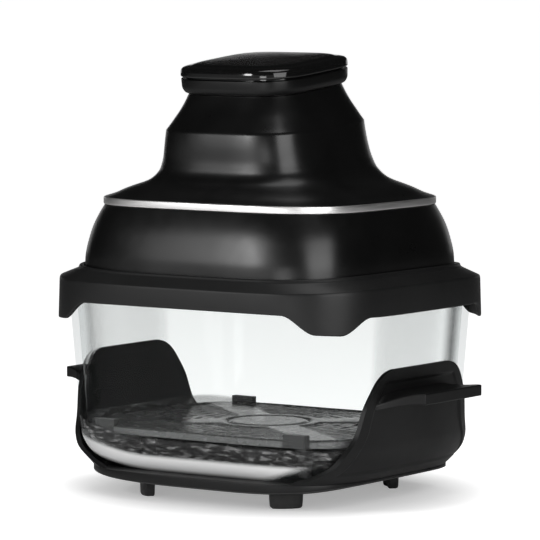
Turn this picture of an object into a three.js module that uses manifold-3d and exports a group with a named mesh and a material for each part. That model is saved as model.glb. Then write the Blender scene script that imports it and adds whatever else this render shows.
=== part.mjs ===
// Lift-off glass air fryer in millimetres: +Z up, front at -Y, grips at -X and +X, z = 0 under the feet.
import * as THREE from 'three';
import { mergeVertices } from 'three/addons/utils/BufferGeometryUtils.js';
import Module from 'manifold-3d';

const wasm = await Module();
wasm.setup();

// Clearances shared by all pieces
const seat = 0.3;
const overrun = 2;

// Signs of X and Y at the four corners
const corners = [[1, 1], [-1, 1], [-1, -1], [1, -1]];

// Smoothness, in counts
const around = 32;
const aroundLid = 64;
const postSides = 12;
const turnedSides = 24;
const wireSides = 6;
const springSteps = 8;
const nutSides = 6;
const holeSides = 6;
const heaterPoints = 14;
const heaterSteps = 48;
const footSteps = 6;
const panelColumns = 12;
const gripRows = 4;
const gripColumns = 10;
const arcSteps = 4;

// Powers of the rounded rectangle plans: a higher power gives squarer corners
const bowlPower = 4.5;
const trayPower = 4;
const headPower = 4;

// Feet, set in from the edge of the plinth
const footHeight = 10.2;
const footLength = 23;
const footWidth = 8;
const footBend = 1.6;
const footInsetX = 21;
const footInsetY = 19;
// Height shares of a foot with its plan size share at each
const footShares = [[0, 0.88], [0.12, 0.96], [1, 1]];

// Cradle tray, whose rail stands proud of the side panels' feet
const trayFloor = 5;
const ledgeRise = 4.5;
const ledgeGap = 0.9;
const railHeight = 6.4;
const railLiftX = 5;
const railBead = 0.8;
const railProudX = 0.2;
const railProudY = 8.6;
const plinthInsetX = 30;
const plinthInsetY = 13;
// Shares of the way from the plinth's foot to the rail: up, and out along X and Y
const plinthUpShare = 0.3;
const plinthOutShareX = 0.3;
const plinthOutShareY = 0.4;
// Share of the ledge's height at which the tray's floor starts to dip
const dipShare = 0.35;

// Cradle side panels and grips
const panelWall = 3;
const panelGap = 1.3;
const panelRise = 76.6;
const panelFootInset = 9;
const gripStand = 27.1;
const gripBelow = 15;
const gripThick = 7.7;
const gripOuterHalf = 35.5;
const gripRootHalf = 57;
const gripDroop = 9;
const gripEndPower = 5;
const gripThinShare = 0.35;
// Height shares of the panel with the half width share of its foot at each
const panelShares = [
  [0, 1], [0.06, 0.96], [0.13, 0.92], [0.26, 0.86], [0.43, 0.765], [0.67, 0.7],
  [0.83, 0.62], [0.92, 0.555], [0.975, 0.48], [1, 0.4],
];

// Glass bowl
const glassWall = 4.2;
const bowlHeight = 128.2;
const bowlRimHalfX = 125.9;
const bowlRimHalfY = 103.4;
const bowlTaperX = 9;
const bowlTaperY = 7.9;
const bowlBottomRadius = 30;

// Crisper plate, with its legs and bumpers set in from its edge
const plateThick = 1.6;
const plateRise = 30;
const plateEdgeGap = 4.6;
const plateSkirt = 5;
const ringBeadRadius = 29;
const ringBeadWidth = 3;
const ringBeadHeight = 1.2;
const plateHoleRadius = 3.1;
const holePitch = 12.4;
const holeCircles = 2;
const endRows = 2;
const spokeShare = 0.94;
const endColumnShare = 1.5;
const plateLegRadius = 5;
const plateLegTopRadius = 7;
const plateLegInsetX = 44.5;
const plateLegInsetY = 36.8;
const bumperLength = 18;
const bumperDepth = 5;
const bumperHeight = 9;
const bumperBelow = 5;
const bumperInset = 30.5;

// Lid ring, hung over the rim of the bowl
const lidWall = 2.2;
const skirtGap = 3.9;
const skirtDrop = 7.5;
const skirtSideDrop = 2.5;
const lidGasketThick = 2.9;
const lidGasketWidth = 3.6;
const webThick = 3.2;
const webInset = 15.2;
const shoulderSideLift = 3;
const lipFootRise = 6.3;
const lipFootLift = 1.5;
const lipHeight = 2;
const lipSideLift = 2.2;
const lipWall = 2.4;
const tabDrop = 12;
const tabHalf = 8.5;
const tabSlope = 24;
const locatorDepth = 8;

// Head housings, set in from the rim of the bowl
const domeInsetX = 12.5;
const domeInsetY = 4.4;
const domeHeight = 49.2;
const domeTopInset = 10;
const domeWall = 2.6;
const headGasketThick = 1.8;
const headGasketWidth = 5;
const bandHeight = 4.9;
const bandProud = 0.7;
const bandWall = 2.4;
const neckWall = 2.4;
const flareHeight = 49.8;
const coneHeight = 25.4;
const creaseHalf = 58.6;
const neckTopHalf = 45.2;
const neckLean = 5.6;
const neckTilt = 5.3 * Math.PI / 180;
// Height shares of the dome with how far its size has gone from the base to the band
const domeShares = [
  [0, 0], [0.27, 0.04], [0.4, 0.12], [0.53, 0.24], [0.65, 0.37], [0.76, 0.53], [0.88, 0.75], [1, 1],
];
const domeInnerShares = [0.9, 0.65, 0.3, 0];
// The neck's height shares from band to crease, with how far its size has gone
const flareShares = [
  [0, 0], [0.1, 0.285], [0.157, 0.44], [0.213, 0.615], [0.27, 0.73], [0.38, 0.845],
  [0.494, 0.9], [0.606, 0.935], [1, 1],
];
const coneShares = [[0.11, 0.134], [0.33, 0.38], [0.55, 0.62], [0.77, 0.82], [1, 1]];
// Rows of the tables that the neck's inner wall follows
const flareInnerFrom = 3;
const coneInnerStep = 2;

// Rim collar and touch panel
const collarFlare = 4.1;
const collarHeight = 10.6;
const collarWall = 2.8;
// Share of the collar's height where its lower bend ends
const collarBendShare = 0.375;
const panelSlit = 1.3;
const coverProud = 0.2;
const coverHeight = 6.8;
const coverWall = 2;
const lensInset = 8;
const lensRise = 1.5;
const lensCrown = 0.3;
const spigotDepth = 5;
const touchBoardInset = 10.2;

// Cooking chamber roof, grille, fan and heater
const hoodInset = 16.7;
const hoodWall = 1;
const hoodRound = 5;
const hoodHeight = 30.9;
const guardRise = 1.9;
const guardThick = 1.6;
const guardBar = 2.4;
const guardFrame = 7;
const guardInnerRadius = 20;
const guardRingInset = 6;
const shaftRadius = 4;
const shaftBore = 6;
const shaftPastNut = 0.7;
const shaftPastFan = 3.6;
const nutRadius = 8;
const nutHeight = 4;
const hotFanRise = 11.4;
const hotFanHeight = 11;
const hotFanBlades = 10;
const bladeThick = 1.4;
const hubRadius = 9;
const heaterInset = 18.3;
const heaterGap = 8.8;
const heaterTube = 3.2;
const heaterRise = 8.4;
const heaterTailTurn = 0.14;
const heaterTailRise = 3.2;
const matThick = 5;
const matInset = 8;
const shieldThick = 1.2;
const cutoutRadius = 7;
const cutoutHeight = 6;
const cutoutX = 45;
const cutoutY = 40;

// Motor and cooling fan
const motorRadius = 30;
const motorHeight = 26;
const motorStand = 8;
const bracketProud = 6;
const bracketThick = 1.6;
const bracketLegRadius = 3;
const coolFanRadius = 36;
const coolFanRise = 3;
const coolFanHeight = 6;
const coolFanBlades = 8;
// Motor outline: radius share and height share at each corner
const motorShares = [[0.4, 0], [0.92, 0.06], [1, 0.14], [1, 0.8], [0.88, 0.92], [0.4, 1]];

// Electronics
const carrierRise = 8;
const carrierThick = 2;
const boardThick = 1.6;
const boardHalf = 36;
const standoffHeight = 4;
const standoffRadius = 2.5;
const relaySize = [18, 14, 14];
const relayPlace = [18, 14];
const coreSize = [28, 22, 15];
const corePlace = [-14, -6];
const windingGrow = 3;

// Interlock, beside the hood
const uprightGap = 0.9;
const uprightThick = 1.2;
const interlockGap = 6.3;
const pinRadius = 1.8;
const pinRise = 12.4;
const pinCollarRadius = 3.6;
const pinCollarThick = 1.4;
const springWire = 0.45;
const springRadius = 2.8;
const springTurns = 4;
const switchRise = 14.9;
const switchHeight = 13;
const switchWidth = 18;
const bracketWidth = 20;
const bracketReach = 12;

// Inlet gland
const glandRadius = 6.7;
const glandFlangeRadius = 10;
const glandFlangeThick = 2;
const glandNozzle = 6;
const glandInside = 6;
const glandRise = 18.9;
const glandTipRadius = 5;

// Vent slots at the back of the neck
const ventSlots = 7;
const ventPitch = 8;
const ventWidth = 3;
const ventLength = 18;
const ventBelowCrease = 13.6;

// Heights from the floor up
const trayBottom = footHeight + seat;
const trayFloorTop = trayBottom + trayFloor;
const railTop = trayFloorTop + ledgeRise;
const panelTop = railTop + panelRise;
const gripTop = panelTop - gripBelow;
const bowlBottom = trayFloorTop + seat;
const bowlFloorTop = bowlBottom + glassWall;
const bowlTop = bowlBottom + bowlHeight;
const plateTop = bowlFloorTop + plateRise;
const webBottom = bowlTop + lidGasketThick + 2 * seat;
const ledgeZ = webBottom + webThick;
const lipFoot = ledgeZ + lipFootRise;
const lipTop = lipFoot + lipHeight;
const domeBottom = ledgeZ + headGasketThick + 2 * seat;
const domeTop = domeBottom + domeHeight;
const bandBottom = domeTop + seat;
const bandTop = bandBottom + bandHeight;
const neckFoot = bandTop + seat;
const creaseZ = neckFoot + flareHeight;
const neckTop = creaseZ + coneHeight;
const collarBottom = neckTop + seat;
const collarTop = collarBottom + collarHeight;
const coverBottom = collarTop + panelSlit;
const coverTop = coverBottom + coverHeight;

// Heights inside the head
const hoodTop = domeBottom + hoodHeight;
const guardLow = domeBottom + guardRise;
const guardHigh = guardLow + guardThick;
const hotFanLow = guardHigh + hotFanRise;
const hotFanHigh = hotFanLow + hotFanHeight;
const nutHigh = hotFanLow - seat;
const nutLow = nutHigh - nutHeight;
const heaterZ = guardHigh + heaterRise;
const matLow = hoodTop + seat;
const shieldLow = matLow + matThick + seat;
const shieldTop = shieldLow + shieldThick;
const motorBottom = shieldTop + motorStand + 2 * seat;
const motorTop = motorBottom + motorHeight;
const coolFanLow = motorTop + coolFanRise;
const coolFanHigh = coolFanLow + coolFanHeight;
const shaftHigh = coolFanHigh + shaftPastFan;
const carrierZ = shaftHigh + carrierRise;
const switchLow = domeBottom + switchRise;
const switchHigh = switchLow + switchHeight;
const glandZ = domeBottom + glandRise;

// Plan sizes from the bowl outwards and inwards
const panelFoot = bowlHalves(railTop, panelGap + panelWall);
const tray = { x: panelFoot.x + railProudX, y: panelFoot.y + railProudY };
const plinth = { x: tray.x - plinthInsetX, y: tray.y - plinthInsetY };
const foot = { x: plinth.x - footInsetX, y: plinth.y - footInsetY };
const panelFootHalf = tray.y - panelFootInset;
const gripReach = bowlRimHalfX + gripStand;
const plate = bowlHalves(plateTop, -glassWall - plateEdgeGap);
const skirt = { x: bowlRimHalfX + skirtGap + lidWall, y: bowlRimHalfY + skirtGap + lidWall };
const dome = { x: bowlRimHalfX - domeInsetX, y: bowlRimHalfY - domeInsetY };
const web = { x: dome.x - webInset, y: dome.y - webInset };
const band = { x: dome.x - domeTopInset, y: dome.y - domeTopInset };
const mouthHalf = neckTopHalf - 2 * neckWall;
const collarHalf = neckTopHalf + collarFlare;
const coverHalf = collarHalf + coverProud;
const lensHalf = coverHalf - lensInset;
const spigotHalf = collarHalf - collarWall - seat;
const hood = { x: dome.x - hoodInset, y: dome.y - hoodInset };
const chamber = { x: hood.x - hoodWall - seat, y: hood.y - hoodWall - seat, power: bowlPower };
const heaterRadius = hood.y - heaterInset;
const hotFanRadius = heaterRadius - heaterTube - heaterGap;
const guardOuterRadius = heaterRadius - guardRingInset;
const bracketRadius = motorRadius + bracketProud;
const uprightX = hood.x + uprightGap;
const interlockX = hood.x + interlockGap;

const model = new THREE.Group();
model.name = 'glass_air_fryer';

const finishes = {
  matteBlack: { color: 0x17181a, roughness: 0.42, metalness: 0 },
  glossBlack: { color: 0x0b0b0c, roughness: 0.08, metalness: 0 },
  darkGrey: { color: 0x2a2b2e, roughness: 0.6, metalness: 0 },
  rubber: { color: 0x242427, roughness: 0.75, metalness: 0 },
  glass: { color: 0xe8eeee, roughness: 0.03, metalness: 0 },
  nonStick: { color: 0x2b2c2e, roughness: 0.35, metalness: 0.3 },
  satinSilver: { color: 0xc4c5c7, roughness: 0.3, metalness: 1 },
  steel: { color: 0x9a9c9f, roughness: 0.35, metalness: 1 },
  heater: { color: 0x5d5b58, roughness: 0.5, metalness: 0.8 },
  silicone: { color: 0x6d6f72, roughness: 0.6, metalness: 0 },
  mica: { color: 0xb9ae97, roughness: 0.9, metalness: 0 },
  board: { color: 0x1f5a3a, roughness: 0.5, metalness: 0 },
  copper: { color: 0xa8643a, roughness: 0.4, metalness: 0.9 },
  whitePlastic: { color: 0xdddcd6, roughness: 0.5, metalness: 0 },
};

function add(name, geometry, finish) {
  const shape = geometry.clone();
  shape.computeVertexNormals();
  const mesh = new THREE.Mesh(shape, new THREE.MeshStandardMaterial(finishes[finish]));
  mesh.name = name;
  model.add(mesh);
  return mesh;
}

// Solids for joining and cutting
function toSolid(geometry) {
  const bare = geometry.clone();
  bare.deleteAttribute('normal');
  bare.deleteAttribute('uv');
  const merged = mergeVertices(bare);
  return new wasm.Manifold(new wasm.Mesh({
    numProp: 3,
    vertProperties: new Float32Array(merged.attributes.position.array),
    triVerts: new Uint32Array(merged.index.array),
  }));
}

function toGeometry(solid) {
  const mesh = solid.getMesh();
  const geometry = new THREE.BufferGeometry();
  geometry.setAttribute('position', new THREE.BufferAttribute(new Float32Array(mesh.vertProperties), 3));
  geometry.setIndex(new THREE.BufferAttribute(new Uint32Array(mesh.triVerts), 1));
  return geometry;
}

function join(first, ...others) {
  return toGeometry(others.reduce((sum, other) => sum.add(toSolid(other)), toSolid(first)));
}

function cut(body, ...tools) {
  return toGeometry(tools.reduce((rest, tool) => rest.subtract(toSolid(tool)), toSolid(body)));
}

// A rounded rectangle plan at one height. lift raises the left and right sides, tilt leans the plane,
// and drop says how far each point hangs below it.
function ring(spec, count = around) {
  const { z, x, y = x, power = headPower, lift = 0, centreY = 0, tilt = 0, drop = null } = spec;
  const points = [];
  for (let i = 0; i < count; i += 1) {
    const angle = i / count * 2 * Math.PI;
    const c = Math.cos(angle);
    const s = Math.sin(angle);
    const px = x * Math.sign(c) * Math.abs(c) ** (2 / power);
    const py = y * Math.sign(s) * Math.abs(s) ** (2 / power);
    const pz = z + lift * c * c - (drop ? drop(px, py) : 0);
    points.push([px, centreY + py * Math.cos(tilt), pz + py * Math.sin(tilt)]);
  }
  return points;
}

// A body through rings. 'loop' joins the last ring to the first, 'caps' closes both ends.
function loft(rings, ends) {
  const count = rings[0].length;
  const positions = rings.flat(2);
  const index = [];
  const bands = ends === 'loop' ? rings.length : rings.length - 1;
  for (let k = 0; k < bands; k += 1) {
    const low = k * count;
    const high = ((k + 1) % rings.length) * count;
    for (let i = 0; i < count; i += 1) {
      const next = (i + 1) % count;
      index.push(low + i, low + next, high + next);
      index.push(low + i, high + next, high + i);
    }
  }
  if (ends === 'caps') {
    const last = (rings.length - 1) * count;
    const bottom = positions.length / 3;
    positions.push(...middle(rings[0]), ...middle(rings[rings.length - 1]));
    for (let i = 0; i < count; i += 1) {
      const next = (i + 1) % count;
      index.push(bottom, next, i);
      index.push(bottom + 1, last + i, last + next);
    }
  }
  const geometry = new THREE.BufferGeometry();
  geometry.setAttribute('position', new THREE.BufferAttribute(new Float32Array(positions), 3));
  geometry.setIndex(index);
  return geometry;
}

function middle(points) {
  return [0, 1, 2].map((axis) => points.reduce((sum, point) => sum + point[axis], 0) / points.length);
}

// A closed slab between two grids of points, outer and inner, with rims all round
function slab(outer, inner) {
  const rows = outer.length;
  const columns = outer[0].length;
  const positions = [...outer.flat(2), ...inner.flat(2)];
  const offset = rows * columns;
  const index = [];
  const quad = (a, b, c, d) => index.push(a, b, c, a, c, d);
  for (let r = 0; r < rows - 1; r += 1) {
    for (let c = 0; c < columns - 1; c += 1) {
      const a = r * columns + c;
      quad(a, a + 1, a + columns + 1, a + columns);
      quad(offset + a, offset + a + columns, offset + a + columns + 1, offset + a + 1);
    }
  }
  const rim = [];
  for (let c = 0; c < columns - 1; c += 1) rim.push(c);
  for (let r = 0; r < rows - 1; r += 1) rim.push(r * columns + columns - 1);
  for (let c = columns - 1; c > 0; c -= 1) rim.push((rows - 1) * columns + c);
  for (let r = rows - 1; r > 0; r -= 1) rim.push(r * columns);
  rim.forEach((a, i) => {
    const b = rim[(i + 1) % rim.length];
    quad(b, a, offset + a, offset + b);
  });
  const geometry = new THREE.BufferGeometry();
  geometry.setAttribute('position', new THREE.BufferAttribute(new Float32Array(positions), 3));
  geometry.setIndex(index);
  return geometry;
}

function post(radius, low, high, x = 0, y = 0, sides = postSides) {
  const geometry = new THREE.CylinderGeometry(radius, radius, high - low, sides);
  geometry.rotateX(Math.PI / 2);
  geometry.translate(x, y, (low + high) / 2);
  return geometry;
}

function block(sizeX, sizeY, low, high, x = 0, y = 0) {
  const geometry = new THREE.BoxGeometry(sizeX, sizeY, high - low);
  geometry.translate(x, y, (low + high) / 2);
  return geometry;
}

// Plan half sizes grown by a distance, or shrunk by a negative one
function grown({ x, y }, by) {
  return { x: x + by, y: y + by };
}

function mix(a, b, share) {
  return a + (b - a) * share;
}

// Value of a table of [place, value] pairs at a place between them
function along(table, place) {
  let k = 0;
  while (k < table.length - 2 && place > table[k + 1][0]) k += 1;
  const [placeLow, valueLow] = table[k];
  const [placeHigh, valueHigh] = table[k + 1];
  return mix(valueLow, valueHigh, (place - placeLow) / (placeHigh - placeLow));
}

function smooth(low, high, value) {
  const share = Math.min(Math.max((value - low) / (high - low), 0), 1);
  return share * share * (3 - 2 * share);
}

// Half sizes of the bowl's outer wall at a height, with the bottom radius
function bowlHalves(z, offset = 0) {
  const share = (bowlTop - z) / (bowlTop - bowlBottom);
  const radius = bowlBottomRadius + offset;
  const arcTop = bowlBottom + bowlBottomRadius;
  const rise = Math.min(Math.max(arcTop - z, 0), radius);
  const inset = radius - Math.sqrt(radius * radius - rise * rise);
  return {
    x: bowlRimHalfX - bowlTaperX * share + offset - inset,
    y: bowlRimHalfY - bowlTaperY * share + offset - inset,
  };
}

// X of a rounded rectangle's right side at a given Y
function sideX({ x, y, power }, atY) {
  return x * (1 - Math.abs(atY / y) ** power) ** (1 / power);
}

// Plan of a foot about its own middle, bowed towards +Y
function footPlan(size) {
  const points = [];
  for (const side of [-1, 1]) {
    for (let i = 0; i <= footSteps; i += 1) {
      const t = -side * mix(-1, 1, i / footSteps);
      const bow = footBend * (1 / 2 - t * t);
      points.push([t * size * footLength / 2, side * size * footWidth / 2 + bow]);
    }
  }
  return points;
}

function makeFeet() {
  for (const [sx, sy] of corners) {
    const turn = Math.atan2(sy, sx) - Math.PI / 2;
    const rings = footShares.map(([up, size]) => footPlan(size).map(([px, py]) => [
      sx * foot.x + px * Math.cos(turn) - py * Math.sin(turn),
      sy * foot.y + px * Math.sin(turn) + py * Math.cos(turn),
      up * footHeight,
    ]));
    const name = `foot_${sy < 0 ? 'front' : 'rear'}_${sx < 0 ? 'left' : 'right'}`;
    add(name, loft(rings, 'caps'), 'rubber');
  }
}

function makeTray() {
  const power = trayPower;
  const railFoot = railTop - railHeight - railBead;
  const ledge = bowlHalves(railTop, ledgeGap);
  const floor = bowlHalves(bowlBottom, 0);
  const dipZ = mix(trayFloorTop, railTop, dipShare);
  const dip = bowlHalves(dipZ + seat, ledgeGap);
  const under = ring({
    z: mix(trayBottom, railFoot, plinthUpShare),
    x: mix(plinth.x, tray.x, plinthOutShareX),
    y: mix(plinth.y, tray.y, plinthOutShareY),
    lift: railLiftX * plinthUpShare,
    power,
  });
  return loft([
    ring({ z: trayBottom, ...plinth, power }),
    under,
    ring({ z: railFoot, x: tray.x - 2 * railBead, y: tray.y - 2 * railBead, lift: railLiftX, power }),
    ring({ z: railFoot + railBead, ...tray, lift: railLiftX, power }),
    ring({ z: railTop - railBead, ...tray, power }),
    ring({ z: railTop, x: tray.x - railBead, y: tray.y - railBead, power }),
    ring({ z: railTop, x: ledge.x, y: ledge.y, power: bowlPower }),
    ring({ z: dipZ, x: dip.x, y: dip.y, power: bowlPower }),
    ring({ z: trayFloorTop, x: floor.x, y: floor.y, power: bowlPower }),
  ], 'caps');
}

// Half sizes of the panel's outer surface: it follows the bowl, but keeps the tray's width near its foot
function panelHalves(z, depth = 0) {
  const offset = panelGap + panelWall;
  const straightY = bowlRimHalfY - bowlTaperY * (bowlTop - z) / (bowlTop - bowlBottom) + offset;
  const fade = smooth(railTop, railTop + bowlBottomRadius / 2, z);
  return {
    x: bowlHalves(z, offset).x - depth,
    y: mix(tray.y, straightY, fade) - depth,
    power: mix(trayPower, bowlPower, fade),
  };
}

function panelGrid(side, depth) {
  const low = railTop - railBead;
  return panelShares.map(([up, wide]) => {
    const z = mix(low, panelTop, up);
    const halves = panelHalves(z, depth);
    const half = panelFootHalf * wide;
    const row = [];
    for (let i = 0; i <= panelColumns; i += 1) {
      const y = half * Math.sin(mix(-1, 1, i / panelColumns) * Math.PI / 2);
      row.push([side * sideX(halves, y), y, z]);
    }
    return row;
  });
}

function makePanel(side) {
  const outer = panelGrid(side, 0);
  const inner = panelGrid(side, panelWall);
  return side > 0 ? slab(outer, inner) : slab(inner, outer);
}

// Upper or lower surface of a grip: near the panel its front and rear ends droop and grow thin
function gripGrid(side, isTop) {
  const rows = [];
  for (let r = 0; r <= gripRows; r += 1) {
    const out = r / gripRows;
    const half = mix(gripRootHalf, gripOuterHalf, Math.sqrt(out));
    const row = [];
    for (let c = 0; c <= gripColumns; c += 1) {
      const t = mix(-1, 1, c / gripColumns);
      const end = Math.abs(t) ** gripEndPower;
      const fall = gripDroop * (1 - out) ** 2 * end;
      const thick = gripThick * mix(1 - end * (1 - gripThinShare), 1, Math.sqrt(out));
      const root = sideX(panelHalves(gripTop - fall, panelWall / 2), t * half);
      row.push([side * mix(root, gripReach, out), t * half, gripTop - fall - (isTop ? 0 : thick)]);
    }
    rows.push(row);
  }
  return rows;
}

function makeGrip(side) {
  const top = gripGrid(side, true);
  const bottom = gripGrid(side, false);
  return side > 0 ? slab(bottom, top) : slab(top, bottom);
}

function makeCradle() {
  const parts = [makePanel(1), makeGrip(1), makePanel(-1), makeGrip(-1)];
  add('cradle', join(makeTray(), ...parts), 'darkGrey');
}

function bowlRing(z, offset) {
  const halves = bowlHalves(z, offset);
  return ring({ z, x: halves.x, y: halves.y, power: bowlPower });
}

function makeBowl() {
  const outer = [];
  const inner = [];
  for (let i = 0; i <= arcSteps; i += 1) {
    const angle = i / arcSteps * Math.PI / 2;
    outer.push(bowlRing(bowlBottom + bowlBottomRadius * (1 - Math.cos(angle)), 0));
    const innerRadius = bowlBottomRadius - glassWall;
    inner.push(bowlRing(bowlFloorTop + innerRadius * (1 - Math.cos(angle)), -glassWall));
  }
  const round = glassWall / 3;
  const rim = [
    bowlRing(bowlTop - round, 0), bowlRing(bowlTop, -round),
    bowlRing(bowlTop, round - glassWall), bowlRing(bowlTop - round, -glassWall),
  ];
  add('glass_bowl', loft([...outer, ...rim, ...inner.reverse()], 'caps'), 'glass');
}

function plateRing(z, inset) {
  return ring({ z, x: plate.x - inset, y: plate.y - inset, power: bowlPower });
}

// Centres of the air holes: circles of holes that leave the four spokes free, and a column at each end
function plateHoles() {
  const places = [];
  for (let circle = 1; circle <= holeCircles; circle += 1) {
    const radius = ringBeadRadius + circle * holePitch;
    const count = 4 * Math.round(2 * Math.PI * radius / holePitch / 4);
    for (let i = 0; i < count; i += 1) {
      const angle = (i + 1 / 2) / count * 2 * Math.PI;
      const onSpoke = Math.abs(Math.sin(2 * angle)) > spokeShare;
      if (!onSpoke) places.push([radius * Math.cos(angle), radius * Math.sin(angle)]);
    }
  }
  const endX = ringBeadRadius + (holeCircles + endColumnShare) * holePitch;
  for (let row = -endRows; row <= endRows; row += 1) {
    places.push([-endX, row * holePitch], [endX, row * holePitch]);
  }
  return places;
}

function makePlate() {
  const under = plateTop - plateThick;
  const body = loft([
    plateRing(under, 2 * plateThick),
    plateRing(plateTop - plateSkirt, plateThick),
    plateRing(plateTop - plateSkirt, 0),
    plateRing(plateTop - plateThick / 2, 0),
    plateRing(plateTop, plateThick),
  ], 'caps');
  const middleZ = plateTop - plateThick / 2;
  const bead = turned([
    [ringBeadRadius - ringBeadWidth / 2, middleZ], [ringBeadRadius + ringBeadWidth / 2, middleZ],
    [ringBeadRadius + ringBeadWidth / 4, plateTop + ringBeadHeight],
    [ringBeadRadius - ringBeadWidth / 4, plateTop + ringBeadHeight],
    [ringBeadRadius - ringBeadWidth / 2, middleZ],
  ]);
  const legFoot = bowlFloorTop + seat;
  const legs = corners.map(([sx, sy]) => turned([
    [0, legFoot], [plateLegRadius, legFoot], [plateLegTopRadius, middleZ], [0, middleZ],
  ], postSides).translate(sx * (plate.x - plateLegInsetX), sy * (plate.y - plateLegInsetY), 0));
  const holes = plateHoles().map(([x, y]) => post(
    plateHoleRadius, under - overrun, plateTop + overrun, x, y, holeSides,
  ));
  add('crisper_plate', cut(join(body, bead, ...legs), ...holes), 'nonStick');
}

// A bumper hugs the plate's edge and all but touches the glass
function makeBumpers() {
  const wall = bowlHalves(plateTop, -glassWall);
  const bumperX = plate.x - bumperInset;
  const reach = bumperX + bumperLength / 2;
  const outerY = sideX({ x: wall.y, y: wall.x, power: bowlPower }, reach) - 2 * seat;
  const clip = loft([
    plateRing(plateTop - plateSkirt - seat, -seat),
    plateRing(plateTop + seat, -seat),
  ], 'caps');
  const low = plateTop - bumperBelow;
  for (const [sx, sy] of corners) {
    const name = `plate_bumper_${sy < 0 ? 'front' : 'rear'}_${sx < 0 ? 'left' : 'right'}`;
    const centreY = sy * (outerY - bumperDepth / 2);
    const body = block(bumperLength, bumperDepth, low, low + bumperHeight, sx * bumperX, centreY);
    add(name, cut(body, clip), 'silicone');
  }
}

// Corner tabs: how far the skirt's lower edge drops at a point of the plan
function tabFall(halves) {
  const corner = 2 ** (-1 / bowlPower);
  return (x, y) => {
    const away = Math.hypot(Math.abs(x) - corner * halves.x, Math.abs(y) - corner * halves.y);
    return tabDrop * (1 - smooth(tabHalf, tabHalf + tabSlope, away));
  };
}

function makeLidRing() {
  const nest = grown(dome, 2 * seat);
  const lip = grown(nest, lipWall);
  const locator = bowlHalves(webBottom, -2 * glassWall);
  const inner = grown(skirt, -lidWall);
  const round = lidWall / 3;
  const low = bowlTop - skirtDrop;
  const level = (z, halves, spec = {}) => ring({ z, ...halves, power: bowlPower, ...spec }, aroundLid);
  add('lid_ring', loft([
    level(low, skirt, { lift: -skirtSideDrop, drop: tabFall(skirt) }),
    level(ledgeZ - round, grown(skirt, -round), { lift: shoulderSideLift }),
    level(ledgeZ, grown(skirt, -2 * round), { lift: shoulderSideLift }),
    level(lipFoot, grown(lip, round), { lift: lipFootLift }),
    level(lipTop - round, lip, { lift: lipSideLift }),
    level(lipTop, grown(lip, -round), { lift: lipSideLift }),
    level(lipTop, grown(nest, round), { lift: lipSideLift }),
    level(lipTop - round, nest, { lift: lipSideLift }),
    level(ledgeZ, nest),
    level(ledgeZ, web),
    level(webBottom, web),
    level(webBottom, grown(locator, -lidWall)),
    level(webBottom - locatorDepth, grown(locator, -lidWall)),
    level(webBottom - locatorDepth, locator),
    level(webBottom, locator),
    level(webBottom, grown(inner, -2 * round)),
    level(low, inner, { lift: -skirtSideDrop, drop: tabFall(inner) }),
  ], 'loop'), 'darkGrey');
}

// A flat ring of constant section
function makeRing(name, finish, low, high, outer, width, power) {
  const inner = { x: outer.x - width, y: outer.y - width };
  add(name, loft([
    ring({ z: low, ...outer, power }), ring({ z: high, ...outer, power }),
    ring({ z: high, ...inner, power }), ring({ z: low, ...inner, power }),
  ], 'loop'), finish);
}

function makeGaskets() {
  const onRim = grown({ x: bowlRimHalfX, y: bowlRimHalfY }, -seat);
  makeRing('lid_gasket', 'silicone', bowlTop + seat, webBottom - seat, onRim, lidGasketWidth, bowlPower);
  const underDome = grown(dome, -domeWall / 2);
  const low = ledgeZ + seat;
  makeRing('head_gasket', 'silicone', low, low + headGasketThick, underDome, headGasketWidth, bowlPower);
}

function domeHalves(z, depth = 0) {
  const gone = along(domeShares, (z - domeBottom) / domeHeight);
  return {
    x: mix(dome.x, band.x, gone) - depth,
    y: mix(dome.y, band.y, gone) - depth,
    power: mix(bowlPower, headPower, gone),
  };
}

function domeRing(up, depth) {
  const z = mix(domeBottom, domeTop, up);
  return ring({ z, ...domeHalves(z, depth) });
}

// Sets a body made about the Y axis onto the rear wall of the dome, square to that wall
function onRearWall(geometry) {
  const low = domeHalves(glandZ - glandFlangeRadius).y;
  const high = domeHalves(glandZ + glandFlangeRadius).y;
  geometry.rotateX(Math.atan2(low - high, 2 * glandFlangeRadius));
  geometry.translate(0, (low + high) / 2, glandZ);
  return geometry;
}

function makeLowerHousing() {
  const lip = domeHalves(domeTop, 3 * domeWall);
  const body = loft([
    ...domeShares.map(([up]) => domeRing(up, 0)),
    ring({ z: domeTop, ...lip }),
    ring({ z: domeTop - domeWall, ...lip }),
    ...domeInnerShares.map((up) => domeRing(up, domeWall)),
  ], 'loop');
  const hole = new THREE.CylinderGeometry(glandRadius + seat, glandRadius + seat, 8 * domeWall, postSides);
  add('lower_housing', cut(body, onRearWall(hole)), 'matteBlack');
}

function makeInletGland() {
  const crown = domeHalves(glandZ).y - domeHalves(glandZ + glandFlangeRadius).y;
  const face = crown + 2 * seat;
  const flange = face + glandFlangeThick;
  const end = flange + glandNozzle;
  const back = -domeWall - glandInside;
  const profile = [
    [0, back], [glandRadius, back], [glandRadius, face], [glandFlangeRadius, face],
    [glandFlangeRadius, flange], [glandRadius, flange], [glandTipRadius, end], [0, end],
  ].map(([radius, y]) => new THREE.Vector2(radius, y));
  add('inlet_gland', onRearWall(new THREE.LatheGeometry(profile, postSides)), 'rubber');
}

function makeBand() {
  makeRing('trim_band', 'satinSilver', bandBottom, bandTop, grown(band, bandProud), bandWall, headPower);
}

// How far the neck leans forwards and tips at a height
function lean(z) {
  return {
    centreY: -neckLean * smooth(neckFoot, creaseZ, z),
    tilt: neckTilt * smooth(neckFoot, neckTop, z),
  };
}

function flareHalves(z, depth) {
  const gone = along(flareShares, (z - neckFoot) / flareHeight);
  return {
    x: mix(band.x, creaseHalf, gone) - depth,
    y: mix(band.y, creaseHalf, gone) - depth,
  };
}

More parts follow.
